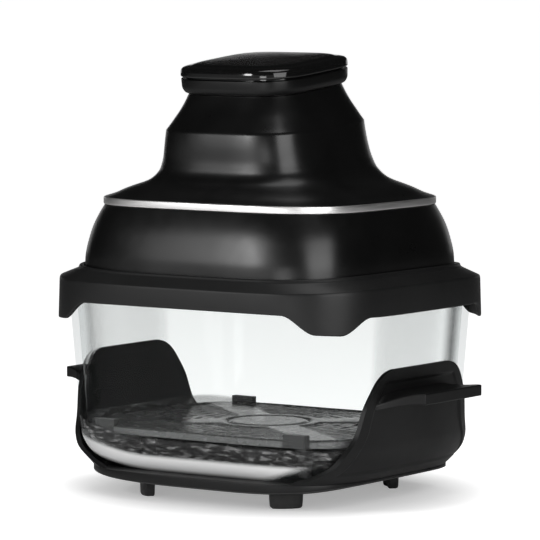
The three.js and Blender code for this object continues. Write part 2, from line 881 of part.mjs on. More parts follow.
function flareRing(up, depth) {
  const z = mix(neckFoot, creaseZ, up);
  return ring({ z, ...flareHalves(z, depth), ...lean(z) });
}

function coneRing([up, gone], depth) {
  const z = mix(creaseZ, neckTop - depth, up);
  return ring({ z, x: mix(creaseHalf, neckTopHalf, gone) - depth, ...lean(z) });
}

function makeUpperHousing() {
  const inset = bandWall + seat - bandProud;
  const spigot = (z, depth) => ring({ z, ...grown(band, -inset - depth) });
  const coneInner = coneShares.filter((share, k) => k % coneInnerStep === 0).reverse();
  const flareInner = flareShares.slice(flareInnerFrom).reverse();
  const body = loft([
    spigot(bandBottom, 0),
    spigot(neckFoot, 0),
    ...flareShares.map(([up]) => flareRing(up, 0)),
    ...coneShares.map((share) => coneRing(share, 0)),
    ring({ z: neckTop, x: mouthHalf, ...lean(neckTop) }),
    ring({ z: neckTop - neckWall, x: mouthHalf, ...lean(neckTop) }),
    ...coneInner.map((share) => coneRing(share, neckWall)),
    ...flareInner.map(([up]) => flareRing(up, neckWall)),
    spigot(neckFoot - neckWall / 2, neckWall),
    spigot(bandBottom, neckWall),
  ], 'loop');
  const slots = [];
  const ventHigh = creaseZ - ventBelowCrease;
  for (let i = 0; i < ventSlots; i += 1) {
    const x = (i - (ventSlots - 1) / 2) * ventPitch;
    slots.push(block(ventWidth, creaseHalf, ventHigh - ventLength, ventHigh, x, creaseHalf));
  }
  add('upper_housing', cut(body, ...slots), 'matteBlack');
}

// Rings of the rim and the touch panel, leaning like the top of the neck
function top(z, half) {
  return ring({ z, x: half, ...lean(neckTop) });
}

function makeCollar() {
  const bend = collarHeight / 4;
  const bore = collarHalf - collarWall;
  const ledge = coverBottom - spigotDepth - seat;
  add('rim_collar', loft([
    top(collarBottom, neckTopHalf),
    top(collarBottom + bend / 2, collarHalf - bend / 2),
    top(mix(collarBottom, collarTop, collarBendShare), collarHalf - bend / 8),
    top(collarTop, collarHalf),
    top(collarTop, bore),
    top(ledge, bore),
    top(ledge, bore - bend),
    top(collarBottom + neckWall, mouthHalf),
    top(collarBottom, mouthHalf),
  ], 'loop'), 'matteBlack');
}

function makeTouchPanel() {
  const round = coverHeight / 5;
  const ceiling = coverTop - coverWall;
  const spigotLow = coverBottom - spigotDepth;
  add('touch_panel_cover', loft([
    top(ceiling, spigotHalf - coverWall),
    top(spigotLow, spigotHalf - coverWall),
    top(spigotLow, spigotHalf),
    top(coverBottom, spigotHalf),
    top(coverBottom, coverHalf - round / 2),
    top(coverBottom + round / 2, coverHalf),
    top(coverTop - 2 * round, coverHalf),
    top(coverTop - round / 2, coverHalf - round),
    top(coverTop, coverHalf - 2 * round),
    top(coverTop + lensRise / 4, lensHalf),
    top(coverTop + lensRise, lensHalf - round),
    top(coverTop + lensRise + lensCrown, lensHalf / 2),
  ], 'caps'), 'glossBlack');
  const boardTop = ceiling - seat;
  const touchBoardHalf = spigotHalf - coverWall - touchBoardInset;
  add('touch_board', loft([
    top(boardTop - boardThick, touchBoardHalf),
    top(boardTop, touchBoardHalf),
  ], 'caps'), 'board');
}

// A turned body about the Z axis through [radius, z] points, listed up its outside
function turned(profile, sides = turnedSides) {
  const points = profile.map(([radius, z]) => new THREE.Vector2(radius, z));
  const geometry = new THREE.LatheGeometry(points, sides);
  geometry.rotateX(Math.PI / 2);
  return geometry;
}

function washer(bore, radius, low, high, sides) {
  return turned([[bore, low], [radius, low], [radius, high], [bore, high], [bore, low]], sides);
}

function heaterTail(side) {
  const turn = Math.PI / 2 - side * heaterTailTurn;
  return [heaterRadius * Math.cos(turn), heaterRadius * Math.sin(turn)];
}

function makeHood() {
  const rim = { ...domeHalves(domeBottom + hoodWall, domeWall + seat), power: bowlPower };
  const shape = (z, inset) => ring({ z, ...grown(hood, -inset), power: bowlPower });
  const body = loft([
    shape(hoodTop - hoodWall, hoodRound),
    shape(hoodTop - hoodRound, hoodWall),
    shape(domeBottom, hoodWall),
    ring({ z: domeBottom, ...rim }),
    ring({ z: domeBottom + hoodWall, ...rim }),
    shape(domeBottom + hoodWall, 0),
    shape(hoodTop - hoodRound, 0),
    shape(hoodTop, hoodRound),
  ], 'caps');
  const through = (radius, [x, y], low, high) => post(radius + seat, low - overrun, high + overrun, x, y);
  add('air_hood', cut(
    body,
    post(shaftBore, hoodTop - hoodRound, hoodTop + overrun),
    through(heaterTube, heaterTail(-1), hoodTop, hoodTop),
    through(heaterTube, heaterTail(1), hoodTop, hoodTop),
    through(pinRadius, [interlockX, 0], domeBottom, domeBottom + hoodWall),
  ), 'steel');
}

// Flat layer over the hood, with holes for the shaft and the heater's tails
function makeLayer(name, finish, low, high, halves) {
  const body = loft([ring({ z: low, ...halves }), ring({ z: high, ...halves })], 'caps');
  const holes = [-1, 1].map((side) => {
    const [x, y] = heaterTail(side);
    return post(heaterTube + 2 * seat, low - overrun, high + overrun, x, y);
  });
  add(name, cut(body, post(shaftBore, low - overrun, high + overrun), ...holes), finish);
}

function makeLayers() {
  const mat = { ...grown(hood, -matInset), power: bowlPower };
  makeLayer('insulation_mat', 'mica', matLow, matLow + matThick, mat);
  makeLayer('heat_shield', 'steel', shieldLow, shieldTop, domeHalves(shieldTop, domeWall + 2 * seat));
  const low = shieldTop + seat;
  add('thermal_cutout', post(cutoutRadius, low, low + cutoutHeight, cutoutX, cutoutY), 'whitePlastic');
}

function makeHeater() {
  const tailHigh = shieldTop + heaterTailRise;
  const tail = (side) => {
    const [x, y] = heaterTail(side);
    const levels = [tailHigh, (tailHigh + heaterZ) / 2, heaterZ + 2 * heaterTube];
    return levels.map((z) => new THREE.Vector3(x, y, z));
  };
  const start = Math.PI / 2 + 2 * heaterTailTurn;
  const sweep = 2 * Math.PI - 4 * heaterTailTurn;
  const turnPoints = [];
  for (let i = 0; i <= heaterPoints; i += 1) {
    const angle = start + sweep * i / heaterPoints;
    const x = heaterRadius * Math.cos(angle);
    const y = heaterRadius * Math.sin(angle);
    turnPoints.push(new THREE.Vector3(x, y, heaterZ));
  }
  const path = new THREE.CatmullRomCurve3([...tail(-1), ...turnPoints, ...tail(1).reverse()]);
  const section = new THREE.Shape().absarc(0, 0, heaterTube, 0, 2 * Math.PI);
  add('heating_element', new THREE.ExtrudeGeometry(section, {
    steps: heaterSteps, curveSegments: wireSides / 2, bevelEnabled: false, extrudePath: path,
  }), 'heater');
}

// How far a rounded rectangle reaches from its middle in the direction of an angle
function reachAt({ x, y, power }, angle) {
  const across = Math.abs(Math.cos(angle) / x) ** power;
  const upwards = Math.abs(Math.sin(angle) / y) ** power;
  return (across + upwards) ** (-1 / power);
}

function makeGuard() {
  const frame = (z, inset) => ring({ z, ...chamber, ...grown(chamber, -inset) });
  const rim = loft([
    frame(guardLow, 0), frame(guardHigh, 0), frame(guardHigh, guardFrame), frame(guardLow, guardFrame),
  ], 'loop');
  const circles = [guardInnerRadius, guardOuterRadius].map((radius) => washer(
    radius - guardBar, radius, guardLow, guardHigh,
  ));
  const ends = { ...chamber, ...grown(chamber, -guardFrame / 2) };
  const bars = [0, 1, 2, 3].map((k) => {
    const angle = k * Math.PI / 4;
    return block(2 * reachAt(ends, angle), guardBar, guardLow, guardHigh).rotateZ(angle);
  });
  const centre = post(guardInnerRadius - guardBar, guardLow - overrun, guardHigh + overrun);
  add('heater_guard', join(cut(join(...bars), centre), rim, ...circles), 'steel');
}

function makeShaft() {
  add('motor_shaft', post(shaftRadius, nutLow - shaftPastNut, shaftHigh), 'steel');
  const nut = post(nutRadius, nutLow, nutHigh, 0, 0, nutSides);
  const bore = post(shaftRadius + seat, nutLow - overrun, nutHigh + overrun);
  add('fan_nut', cut(nut, bore), 'steel');
}

// A fan on the shaft: hub, disc over the blades and straight blades
function makeFan(name, finish, radius, low, high, blades) {
  const bore = shaftRadius + seat;
  const bladeX = (radius + hubRadius) / 2 - bladeThick;
  const parts = [washer(bore, radius, high - bladeThick, high)];
  for (let i = 0; i < blades; i += 1) {
    const blade = block(radius - hubRadius, bladeThick, low, high - bladeThick / 2, bladeX);
    parts.push(blade.rotateZ(i / blades * 2 * Math.PI));
  }
  add(name, join(washer(bore, hubRadius, low, high), ...parts), finish);
}

function makeMotor() {
  const bore = shaftRadius + seat;
  const outline = motorShares.map(([wide, up]) => [wide * motorRadius, mix(motorBottom, motorTop, up)]);
  add('motor', turned([[bore, motorBottom], ...outline, [bore, motorTop], [bore, motorBottom]]), 'steel');
  const plateHigh = motorBottom - seat;
  const plate = washer(shaftBore, bracketRadius, plateHigh - bracketThick, plateHigh);
  const legRing = bracketRadius - bracketLegRadius;
  const legs = corners.map(([sx, sy]) => post(
    bracketLegRadius, shieldTop + seat, plateHigh - bracketThick / 2,
    sx * legRing * Math.SQRT1_2, sy * legRing * Math.SQRT1_2,
  ));
  add('motor_bracket', join(plate, ...legs), 'steel');
}

// Puts a body made on the carrier's own plane, z = 0 at its underside, into its leaning place
function onCarrier(geometry) {
  const { centreY, tilt } = lean(carrierZ);
  geometry.rotateX(tilt);
  geometry.translate(0, centreY, carrierZ);
  return geometry;
}

function makeElectronics() {
  const deck = flareHalves(carrierZ + carrierThick, neckWall + 2 * seat);
  const plate = loft([ring({ z: 0, ...deck }), ring({ z: carrierThick, ...deck })], 'caps');
  const corner = boardHalf - 2 * standoffRadius;
  const studs = corners.map(([sx, sy]) => post(
    standoffRadius, carrierThick / 2, carrierThick + standoffHeight, sx * corner, sy * corner,
  ));
  add('board_carrier', onCarrier(join(plate, ...studs)), 'darkGrey');
  const boardLow = carrierThick + standoffHeight + seat;
  const boardHigh = boardLow + boardThick;
  add('power_board', onCarrier(block(2 * boardHalf, 2 * boardHalf, boardLow, boardHigh)), 'board');
  const low = boardHigh + seat;
  const stand = ([sizeX, sizeY, height], [x, y]) => block(sizeX, sizeY, low, low + height, x, y);
  add('relay', onCarrier(stand(relaySize, relayPlace)), 'whitePlastic');
  const [coreX, coreY, coreHeight] = coreSize;
  const lift = windingGrow / 2;
  const wide = coreY + 2 * windingGrow;
  const winding = block(coreX / 2, wide, low + lift, low + coreHeight - lift, ...corePlace);
  add('transformer', onCarrier(join(stand(coreSize, corePlace), winding)), 'copper');
}

function makeSpring(low, high) {
  const points = [];
  const middleLow = low + springWire;
  const middleHigh = high - springWire;
  for (let i = 0; i <= springTurns * springSteps; i += 1) {
    const angle = i / springSteps * 2 * Math.PI;
    points.push(new THREE.Vector3(
      interlockX + springRadius * Math.cos(angle),
      springRadius * Math.sin(angle),
      mix(middleLow, middleHigh, i / (springTurns * springSteps)),
    ));
  }
  const section = new THREE.Shape().absarc(0, 0, springWire, 0, 2 * Math.PI);
  return new THREE.ExtrudeGeometry(section, {
    steps: springTurns * springSteps,
    curveSegments: wireSides / 2,
    bevelEnabled: false,
    extrudePath: new THREE.CatmullRomCurve3(points),
  });
}

function makeInterlock() {
  const footLow = domeBottom + hoodWall + seat;
  const footHigh = footLow + uprightThick;
  const base = block(bracketReach, bracketWidth, footLow, footHigh, uprightX + bracketReach / 2);
  const upright = block(uprightThick, bracketWidth, footLow, switchHigh, uprightX + uprightThick / 2);
  const hole = post(pinRadius + seat, footLow - overrun, footHigh + overrun, interlockX);
  add('interlock_bracket', cut(join(base, upright), hole), 'steel');
  const half = interlockX - uprightX - uprightThick - seat;
  add('interlock_switch', block(2 * half, switchWidth, switchLow, switchHigh, interlockX), 'darkGrey');
  const collarLow = footHigh + seat;
  const collarHigh = collarLow + pinCollarThick;
  const pinHigh = domeBottom + pinRise;
  add('interlock_plunger', turned([
    [0, ledgeZ + seat], [pinRadius, ledgeZ + seat], [pinRadius, collarLow], [pinCollarRadius, collarLow],
    [pinCollarRadius, collarHigh], [pinRadius, collarHigh], [pinRadius, pinHigh], [0, pinHigh],
  ], postSides).translate(interlockX, 0, 0), 'whitePlastic');
  add('plunger_spring', makeSpring(collarHigh + seat, switchLow - seat), 'steel');
}

makeFeet();
makeCradle();
makeBowl();
makePlate();
makeBumpers();
makeLidRing();
makeGaskets();
makeLowerHousing();
makeInletGland();
makeBand();
makeUpperHousing();
makeCollar();
makeTouchPanel();
makeHood();
makeLayers();
makeHeater();
makeGuard();
makeShaft();
makeFan('hot_air_fan', 'steel', hotFanRadius, hotFanLow, hotFanHigh, hotFanBlades);
makeFan('cooling_fan', 'darkGrey', coolFanRadius, coolFanLow, coolFanHigh, coolFanBlades);
makeMotor();
makeElectronics();
makeInterlock();

export default model;
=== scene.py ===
"""Looks of the lift-off glass air fryer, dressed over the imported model.

Lengths are in millimetres; MM turns them into metres where Blender takes them.
+Z is up, the front is at -Y, and the grips are at -X and +X.
"""

import math

import bpy
import numpy as np
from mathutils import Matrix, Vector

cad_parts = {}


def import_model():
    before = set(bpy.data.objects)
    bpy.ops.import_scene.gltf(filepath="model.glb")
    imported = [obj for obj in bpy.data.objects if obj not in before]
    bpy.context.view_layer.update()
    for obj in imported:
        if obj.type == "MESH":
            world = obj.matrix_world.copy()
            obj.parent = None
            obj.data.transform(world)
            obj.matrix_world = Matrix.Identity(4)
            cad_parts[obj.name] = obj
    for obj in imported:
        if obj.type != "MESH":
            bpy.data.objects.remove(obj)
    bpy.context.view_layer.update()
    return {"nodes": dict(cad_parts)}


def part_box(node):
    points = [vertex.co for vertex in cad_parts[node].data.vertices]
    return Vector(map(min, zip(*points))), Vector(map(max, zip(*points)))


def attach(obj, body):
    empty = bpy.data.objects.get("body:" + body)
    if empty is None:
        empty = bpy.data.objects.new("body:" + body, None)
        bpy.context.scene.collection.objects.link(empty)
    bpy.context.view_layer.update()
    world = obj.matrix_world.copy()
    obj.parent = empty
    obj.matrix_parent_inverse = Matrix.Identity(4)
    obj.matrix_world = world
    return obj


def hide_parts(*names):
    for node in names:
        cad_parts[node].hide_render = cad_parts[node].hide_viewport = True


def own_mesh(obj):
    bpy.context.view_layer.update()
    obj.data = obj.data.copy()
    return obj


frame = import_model()
bpy.context.scene.view_settings.view_transform = "Standard"

MM = 0.001
CORNERS = (("rear_right", 1, 1), ("rear_left", -1, 1), ("front_left", -1, -1), ("front_right", 1, -1))

# Meshes: points round a loft, steps of an outline's quarter, share of a side that a rounding takes
AROUND, QUARTER_STEPS, SOFT_SHARE = 256, 1500, 0.45
CUT_SHARP, BEVEL_SEGMENTS = 35, 3

# Camera: the photograph's angle, from a long lens
AZIMUTH, ELEVATION = math.radians(35), math.radians(5.2)
DISTANCE, AIM_Z = 2870, 140
LENS, SENSOR, SHIFT_Y = 273.3, 36, 0.041
CLIP = (0.1, 60)

# Floor, world and backdrop. Reflections see a pool of light on the floor in front of the object
FLOOR_HALF = 30000
POOL_GLOW, POOL_INNER, POOL_OUTER = 0.25, 22, 80
FLOOR_GLOW_NEAR, FLOOR_GLOW_FAR, GLOW_START, GLOW_END = 0.35, 1, 92, 195
AMBIENT = 0.012
BACKDROP_AWAY, BACKDROP_HALF, BACKDROP_TOP, BACKDROP_GLOW = 6000, 4200, 1250, 0.85

# Soft boxes: azimuth, distance, height, size and radiance. All look at the height of the aim
LAMP_AIM = 200
LAMPS = (
    ("soft_box_left", -23, 766, 350, (100, 250), 19),
    ("soft_box_low", 2, 850, 140, (220, 100), 6.5),
    ("soft_box_right", 57, 1100, 480, (980, 760), 3.6),
    ("soft_box_top", 0, 1, 1500, (900, 900), 2.3),
)

# Cradle
TRAY_POWER = 4
TRAY_X, TRAY_Y = 110, 97
TRAY_BOTTOM, TRAY_FLOOR = 10.5, 15.5
RAIL_TOP, RAIL_HEIGHT, RAIL_LIFT, RAIL_BEAD = 20, 6.4, 5, 0.8
PLINTH_X, PLINTH_Y = 80, 84
BELLY, DIP_SHARE = (0.3, 0.3, 0.4), 0.35
LEDGE_GAP = 0.9
PANEL_WALL, PANEL_GAP, PANEL_TOP, PANEL_FOOT = 3, 1.3, 96.6, 88
PANEL_SHARES = (
    (0, 1), (0.06, 0.96), (0.13, 0.92), (0.26, 0.86), (0.43, 0.765), (0.67, 0.7),
    (0.83, 0.62), (0.92, 0.555), (0.975, 0.48), (1, 0.4),
)
PANEL_ROWS, PANEL_COLUMNS = 84, 132
# The field of a side panel lies a little lower than its border, which is wider at the foot
BORDER, BORDER_DEPTH, BORDER_EDGE = 8.5, 1.2, 1.4
BORDER_TOP_SHARE, BORDER_FOOT_SHARE, BORDER_FOOT_LIFT = 1.05, 1.6, 3
GRIP_REACH, GRIP_TOP, GRIP_THICK = 153, 81.6, 7.7
GRIP_OUTER, GRIP_ROOT, GRIP_DROOP = 35.5, 57, 9
GRIP_THIN, GRIP_POWER = 0.35, 5
GRIP_ROWS, GRIP_COLUMNS = 20, 48

# Feet
FOOT_HEIGHT, FOOT_LENGTH, FOOT_WIDTH, FOOT_BEND = 10.2, 23, 8, 1.6
FOOT_X, FOOT_Y = 59, 65
FOOT_SHARES = ((0, 0.84), (0.05, 0.89), (0.12, 0.95), (0.5, 0.98), (1, 1))
FOOT_STEPS, FOOT_TAPER, FOOT_POWER = 24, 0.35, 8

# Bowl
BOWL_POWER = 4.5
GLASS = 4.2
BOWL_BOTTOM, BOWL_TOP, BOWL_RADIUS = 15.8, 144, 30
BOWL_X, BOWL_Y, TAPER_X, TAPER_Y = 125.9, 103.4, 9, 7.9
# Levels this close to the ends of the straight wall keep its shading, and so its refraction, flat
WALL_ENDS, WALL_LEVELS, FOOT_LEVELS = (1.5, 4), 6, 12

# Crisper plate: a pressed sheet with a ring groove, four broad spokes and sunk slotted fields.
# Its rings are round in the middle and take the bowl's outline between two shares of its size
PLATE_TOP, PLATE_THICK, PLATE_GAP, PLATE_SKIRT = 50, 1.6, 4.6, 5
PLATE_RINGS, PLATE_AROUND, PLATE_UNDER, ROUND_SHARES = 84, 256, 1.8, (0.2, 0.8)
RIM_DROP, RIM_FROM, RIM_TO = 0.8, 3.4, 0.8
# Height from the plate's top and inset of the skirt's levels
SKIRT_LEVELS = ((2.2, 0), (PLATE_SKIRT, 0), (PLATE_SKIRT, 1.4), (PLATE_THICK + PLATE_UNDER, 3))
GROOVE_RADIUS, GROOVE_WIDTH, GROOVE_DEPTH = 29, 2.2, 1.2
SPOKE_HALF = 11
FIELD_SINK, FIELD_EDGE, FIELD_FROM_GROOVE, FIELD_FROM_RIM = 0.9, 3, 7, 5
RIB_HEIGHT, RIB_PITCH = 0.35, 7
SLOT_RINGS, SLOT_FIRST, SLOT_PITCH, SLOT_SPACING = 6, 13.5, 10.5, 17
SLOT_HALF_WIDTH, SLOT_HALF_LENGTH, SLOT_SIDES = 1.7, 5.5, 12
SLOT_FROM_SPOKE, SLOT_FROM_RIM, SLOT_BELOW, SLOT_ABOVE = 8, 11, 8, 4
LEG_X, LEG_Y, LEG_RADIUS, LEG_TOP, LEG_END, LEG_AROUND = 66, 52, 5, 7, 2, 48
BUMPER_X, BUMPER_LENGTH, BUMPER_DEPTH, BUMPER_HEIGHT, BUMPER_BELOW = 80, 18, 5, 9, 5
BUMPER_COLUMNS, BUMPER_ROWS = 12, 6

# Lid ring
LID_X, LID_Y, LID_WALL, LID_BOTTOM, LID_SIDE_DROP = 132, 109.5, 2.2, 136.5, 2.5
SHOULDER_Z, SHOULDER_LIFT = 150.6, 3
LIP_FOOT, LIP_FOOT_LIFT, LIP_TOP, LIP_LIFT, LIP_WALL = 157, 1.5, 159, 2.2, 2.4
LEDGE_Z, WEB, WEB_X, WEB_Y = 150.7, 3.2, 98.2, 83.8
TAB_DROP, TAB_HALF, TAB_SLOPE = 12, 8.5, 24
LOCATOR, LID_AROUND = 8, 512

# Head
HEAD_POWER = 4
DOME_X, DOME_Y, DOME_WALL = 113.4, 99, 2.6
DOME_TOP_X, DOME_TOP_Y, DOME_BOTTOM, DOME_TOP = 103.4, 89, 153.1, 202.3
DOME_SHARES = (
    (0, 0), (0.27, 0.04), (0.4, 0.12), (0.53, 0.24), (0.65, 0.37), (0.76, 0.53), (0.88, 0.75), (1, 1),
)
DOME_LEVELS, DOME_INNER_LEVELS, DOME_INNER_TOP = 28, 12, 0.92
NEST_GAP = 0.6
BAND_BOTTOM, BAND_TOP, BAND_PROUD, BAND_WALL = 202.6, 207.5, 0.7, 2.4
NECK_FOOT, CREASE_Z, NECK_TOP, NECK_WALL = 207.8, 257.6, 283, 2.4
CREASE, NECK_TOP_HALF = 58.6, 45.2
FLARE_LEVELS, CONE_LEVELS, CONE_INNER_LEVELS, FLARE_INNER_LEVELS = 40, 16, 8, 14
CONE_INNER_FROM, FLARE_INNER_FROM = 0.1, 0.16
FLARE_SHARES = (
    (0, 0), (0.045, 0.155), (0.1, 0.285), (0.157, 0.44), (0.213, 0.615), (0.27, 0.73),
    (0.38, 0.845), (0.494, 0.9), (0.606, 0.935), (0.827, 0.975), (1, 1),
)
CONE_SHARES = ((0, 0), (0.11, 0.134), (0.33, 0.38), (0.55, 0.62), (0.77, 0.82), (1, 1))
LEAN, TILT = 5.6, math.radians(5.3)
VENT_COUNT, VENT_PITCH, VENT_WIDTH = 7, 8, 3
VENT_LOW, VENT_HIGH, VENT_SIDES = 226, 244, 16
COLLAR_BOTTOM, COLLAR_TOP, COLLAR, COLLAR_WALL = 283.3, 293.9, 49.3, 2.8
COVER_BOTTOM, COVER_TOP, COVER, COVER_WALL = 295.2, 302, 49.5, 2
LENS_HALF, LENS_RISE, LENS_CROWN, SPIGOT = 41.5, 1.5, 0.3, 5
SEAT = 0.3

# Spring of the interlock plunger
SPRING_WIRE, SPRING_RADIUS, SPRING_TURNS = 0.45, 2.8, 4
SPRING_STEPS, SPRING_SIDES = 28, 12


def mix(a, b, share):
    return a + (b - a) * share


def smooth(low, high, value):
    share = np.clip((value - low) / (high - low), 0, 1)
    return share * share * (3 - 2 * share)


def curve(table, place):
    """Value of a table of (place, value) pairs on one smooth curve through them."""
    xs, ys = zip(*table)
    k = min(max(sum(1 for x in xs if x <= place) - 1, 0), len(xs) - 2)

    def slope(i):
        low, high = max(i - 1, 0), min(i + 1, len(xs) - 1)
        return (ys[high] - ys[low]) / (xs[high] - xs[low])

    span = xs[k + 1] - xs[k]
    t = (place - xs[k]) / span
    a, b = ys[k], ys[k + 1]
    m0, m1 = slope(k) * span, slope(k + 1) * span
    return (
        (2 * t**3 - 3 * t**2 + 1) * a + (t**3 - 2 * t**2 + t) * m0
        + (3 * t**2 - 2 * t**3) * b + (t**3 - t**2) * m1
    )


def bowl_halves(z, offset=0.0):
    share = (BOWL_TOP - z) / (BOWL_TOP - BOWL_BOTTOM)
    radius = BOWL_RADIUS + offset
    rise = min(max(BOWL_BOTTOM + BOWL_RADIUS - z, 0), radius)
    inset = radius - math.sqrt(radius**2 - rise**2)
    return BOWL_X - TAPER_X * share + offset - inset, BOWL_Y - TAPER_Y * share + offset - inset


# Outlines and lofts


def outline(x, y, power, count=AROUND):
    """Rounded rectangle, counter-clockwise from +X, its points evenly spaced in each quarter."""
    t = np.linspace(0, math.pi / 2, QUARTER_STEPS)
    px, py = x * np.cos(t) ** (2 / power), y * np.sin(t) ** (2 / power)
    run = np.concatenate([[0], np.cumsum(np.hypot(np.diff(px), np.diff(py)))])
    at = np.linspace(0, run[-1], count // 4 + 1)
    quarter = np.stack([np.interp(at, run, px), np.interp(at, run, py)], 1)
    return np.concatenate([
        quarter[:-1],
        (quarter * [-1, 1])[::-1][:-1],
        (quarter * [-1, -1])[:-1],
        (quarter * [1, -1])[::-1][:-1],
    ])


def level(z, x, y=None, power=HEAD_POWER, lift=0.0, lean=(0.0, 0.0), tab=0.0, soft=0.0):
    """One ring of a loft as plain numbers, and how far its corner is rounded."""
    return np.array([z, x, x if y is None else y, power, lift, lean[0], lean[1], tab]), soft


def soften(levels, closed, steps):
    """Rounds the corners of a loft's side view where a level asks for it."""
    made = []
    count = len(levels)
    for k, (spec, soft) in enumerate(levels):
        edge = not closed and k in (0, count - 1)
        if soft == 0 or edge:
            made.append(spec)
            continue
        before, after = levels[k - 1][0], levels[(k + 1) % count][0]
        low = spec + (before - spec) * min(SOFT_SHARE, soft / np.hypot(*(before - spec)[:2]))
        high = spec + (after - spec) * min(SOFT_SHARE, soft / np.hypot(*(after - spec)[:2]))
        for t in np.linspace(0, 1, steps + 1):
            made.append((1 - t) ** 2 * low + 2 * t * (1 - t) * spec + t**2 * high)
    return made


def ring(spec, count):
    z, x, y, power, lift, centre_y, tilt, tab = spec
    px, py = outline(x, y, power, count).T
    pz = z + lift * (np.abs(px) / x) ** power
    if tab:
        corner = 2 ** (-1 / power)
        away = np.hypot(np.abs(px) - corner * x, np.abs(py) - corner * y)
        pz = pz - tab * (1 - smooth(TAB_HALF, TAB_HALF + TAB_SLOPE, away))
    return np.stack([px, centre_y + py * math.cos(tilt), pz + py * math.sin(tilt)], 1)


def tube_faces(rings, count, ends="caps", start=0, flip=False):
    """Faces between rings of points. 'loop' joins the last ring to the first, 'caps' closes both ends."""
    faces = []
    for k in range(rings if ends == "loop" else rings - 1):
        low = start + k * count
        high = start + (k + 1) % rings * count
        for i in range(count):
            j = (i + 1) % count
            outside = (low + i, low + j, high + j, high + i)
            faces.append((low + i, high + i, high + j, low + j) if flip else outside)
    if ends == "caps":
        low = tuple(range(start, start + count))
        high = tuple(range(start + (rings - 1) * count, start + rings * count))
        faces += [low, high[::-1]] if flip else [low[::-1], high]
    return faces


def loft_mesh(levels, ends="loop", count=AROUND, steps=4):
    """Points and faces of a skin through levels."""
    rings = [ring(spec, count) for spec in soften(levels, ends == "loop", steps)]
    return np.concatenate(rings), tube_faces(len(rings), count, ends)


def slab_mesh(outer, inner):
    """A closed slab between two grids of points."""
    rows, columns = outer.shape[:2]
    points = np.concatenate([outer.reshape(-1, 3), inner.reshape(-1, 3)])
    offset = rows * columns
    faces = []
    for r in range(rows - 1):
        for c in range(columns - 1):
            a = r * columns + c
            faces.append((a, a + 1, a + columns + 1, a + columns))
            faces.append((offset + a, offset + a + columns, offset + a + columns + 1, offset + a + 1))
    at = np.arange(offset).reshape(rows, columns)
    edge = np.concatenate([at[0, :-1], at[:-1, -1], at[-1, :0:-1], at[:0:-1, 0]]).tolist()
    for a, b in zip(edge, edge[1:] + edge[:1]):
        faces.append((b, a, offset + a, offset + b))
    return points, faces


def add_object(name, data):
    obj = bpy.data.objects.new(name, data)
    bpy.context.scene.collection.objects.link(obj)
    return obj


def crisp(mesh, sharp):
    """Smooth shading, apart from edges sharper than an angle."""
    mesh.shade_smooth()
    mesh.set_sharp_from_angle(angle=math.radians(sharp))


def make_mesh(name, points, faces, sharp=32):
    """A smooth-shaded object from points in millimetres, with its corners kept crisp."""
    mesh = bpy.data.meshes.new(name)
    mesh.from_pydata((np.asarray(points) * MM).tolist(), [], faces)
    mesh.update()
    crisp(mesh, sharp)
    return add_object(name, mesh)


def bevel(obj, width, angle):
    modifier = obj.modifiers.new("rounded_edges", "BEVEL")
    modifier.width = width * MM
    modifier.segments = BEVEL_SEGMENTS
    modifier.limit_method = "ANGLE"
    modifier.angle_limit = math.radians(angle)
    modifier.harden_normals = True
    return obj


def paint(obj, finish):
    obj.data.materials.clear()
    obj.data.materials.append(FINISHES[finish])


def dress(obj, finish, body, slot_name, *nodes):
    """Gives a piece its finish, the body it rides on and the nodes it stands for. The slot name is not
    used.
    """
    paint(obj, finish)
    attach(obj, body)
    if nodes:
        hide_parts(*nodes)


def lofted(name, levels, sharp, look, **shape):
    """A dressed piece whose skin goes through levels."""
    points, faces = loft_mesh(levels, **shape)
    dress(make_mesh(name, points, faces, sharp), *look)


# Materials: lengths of the bumps are in millimetres, noise scales are per metre

MIDDLE = (0.3, 0.7)


class Nodes:
    """A node tree with a short way to add and link nodes."""

    def __init__(self, tree):
        self.tree = tree

    def put(self, socket, value):
        if isinstance(value, bpy.types.NodeSocket):
            self.tree.links.new(value, socket)
        else:
            socket.default_value = value

    def node(self, kind, settings=None, **inputs):
        made = self.tree.nodes.new(f"ShaderNode{kind}")
        for key, value in (settings or {}).items():
            setattr(made, key, value)
        for key, value in inputs.items():
            self.put(made.inputs[key.replace("_", " ")], value)
        return made

    def math(self, operation, first, second=0.0, kind="Math"):
        made = self.node(kind, {"operation": operation})
        self.put(made.inputs[0], first)
        self.put(made.inputs[1], second)
        return made.outputs["Value" if operation in ("LENGTH", "DOT_PRODUCT") else 0]

    def vector(self, operation, first, second=(0, 0, 0)):
        return self.math(operation, first, second, "VectorMath")

    def span(self, value, low=0.0, high=1.0, start=0.0, end=1.0, soft=True):
        """A number that runs from start to end while the value runs from low to high."""
        settings = {"interpolation_type": "SMOOTHSTEP" if soft else "LINEAR"}
        ends = {"From_Min": low, "From_Max": high, "To_Min": start, "To_Max": end}
        return self.node("MapRange", settings, Value=value, **ends).outputs[0]


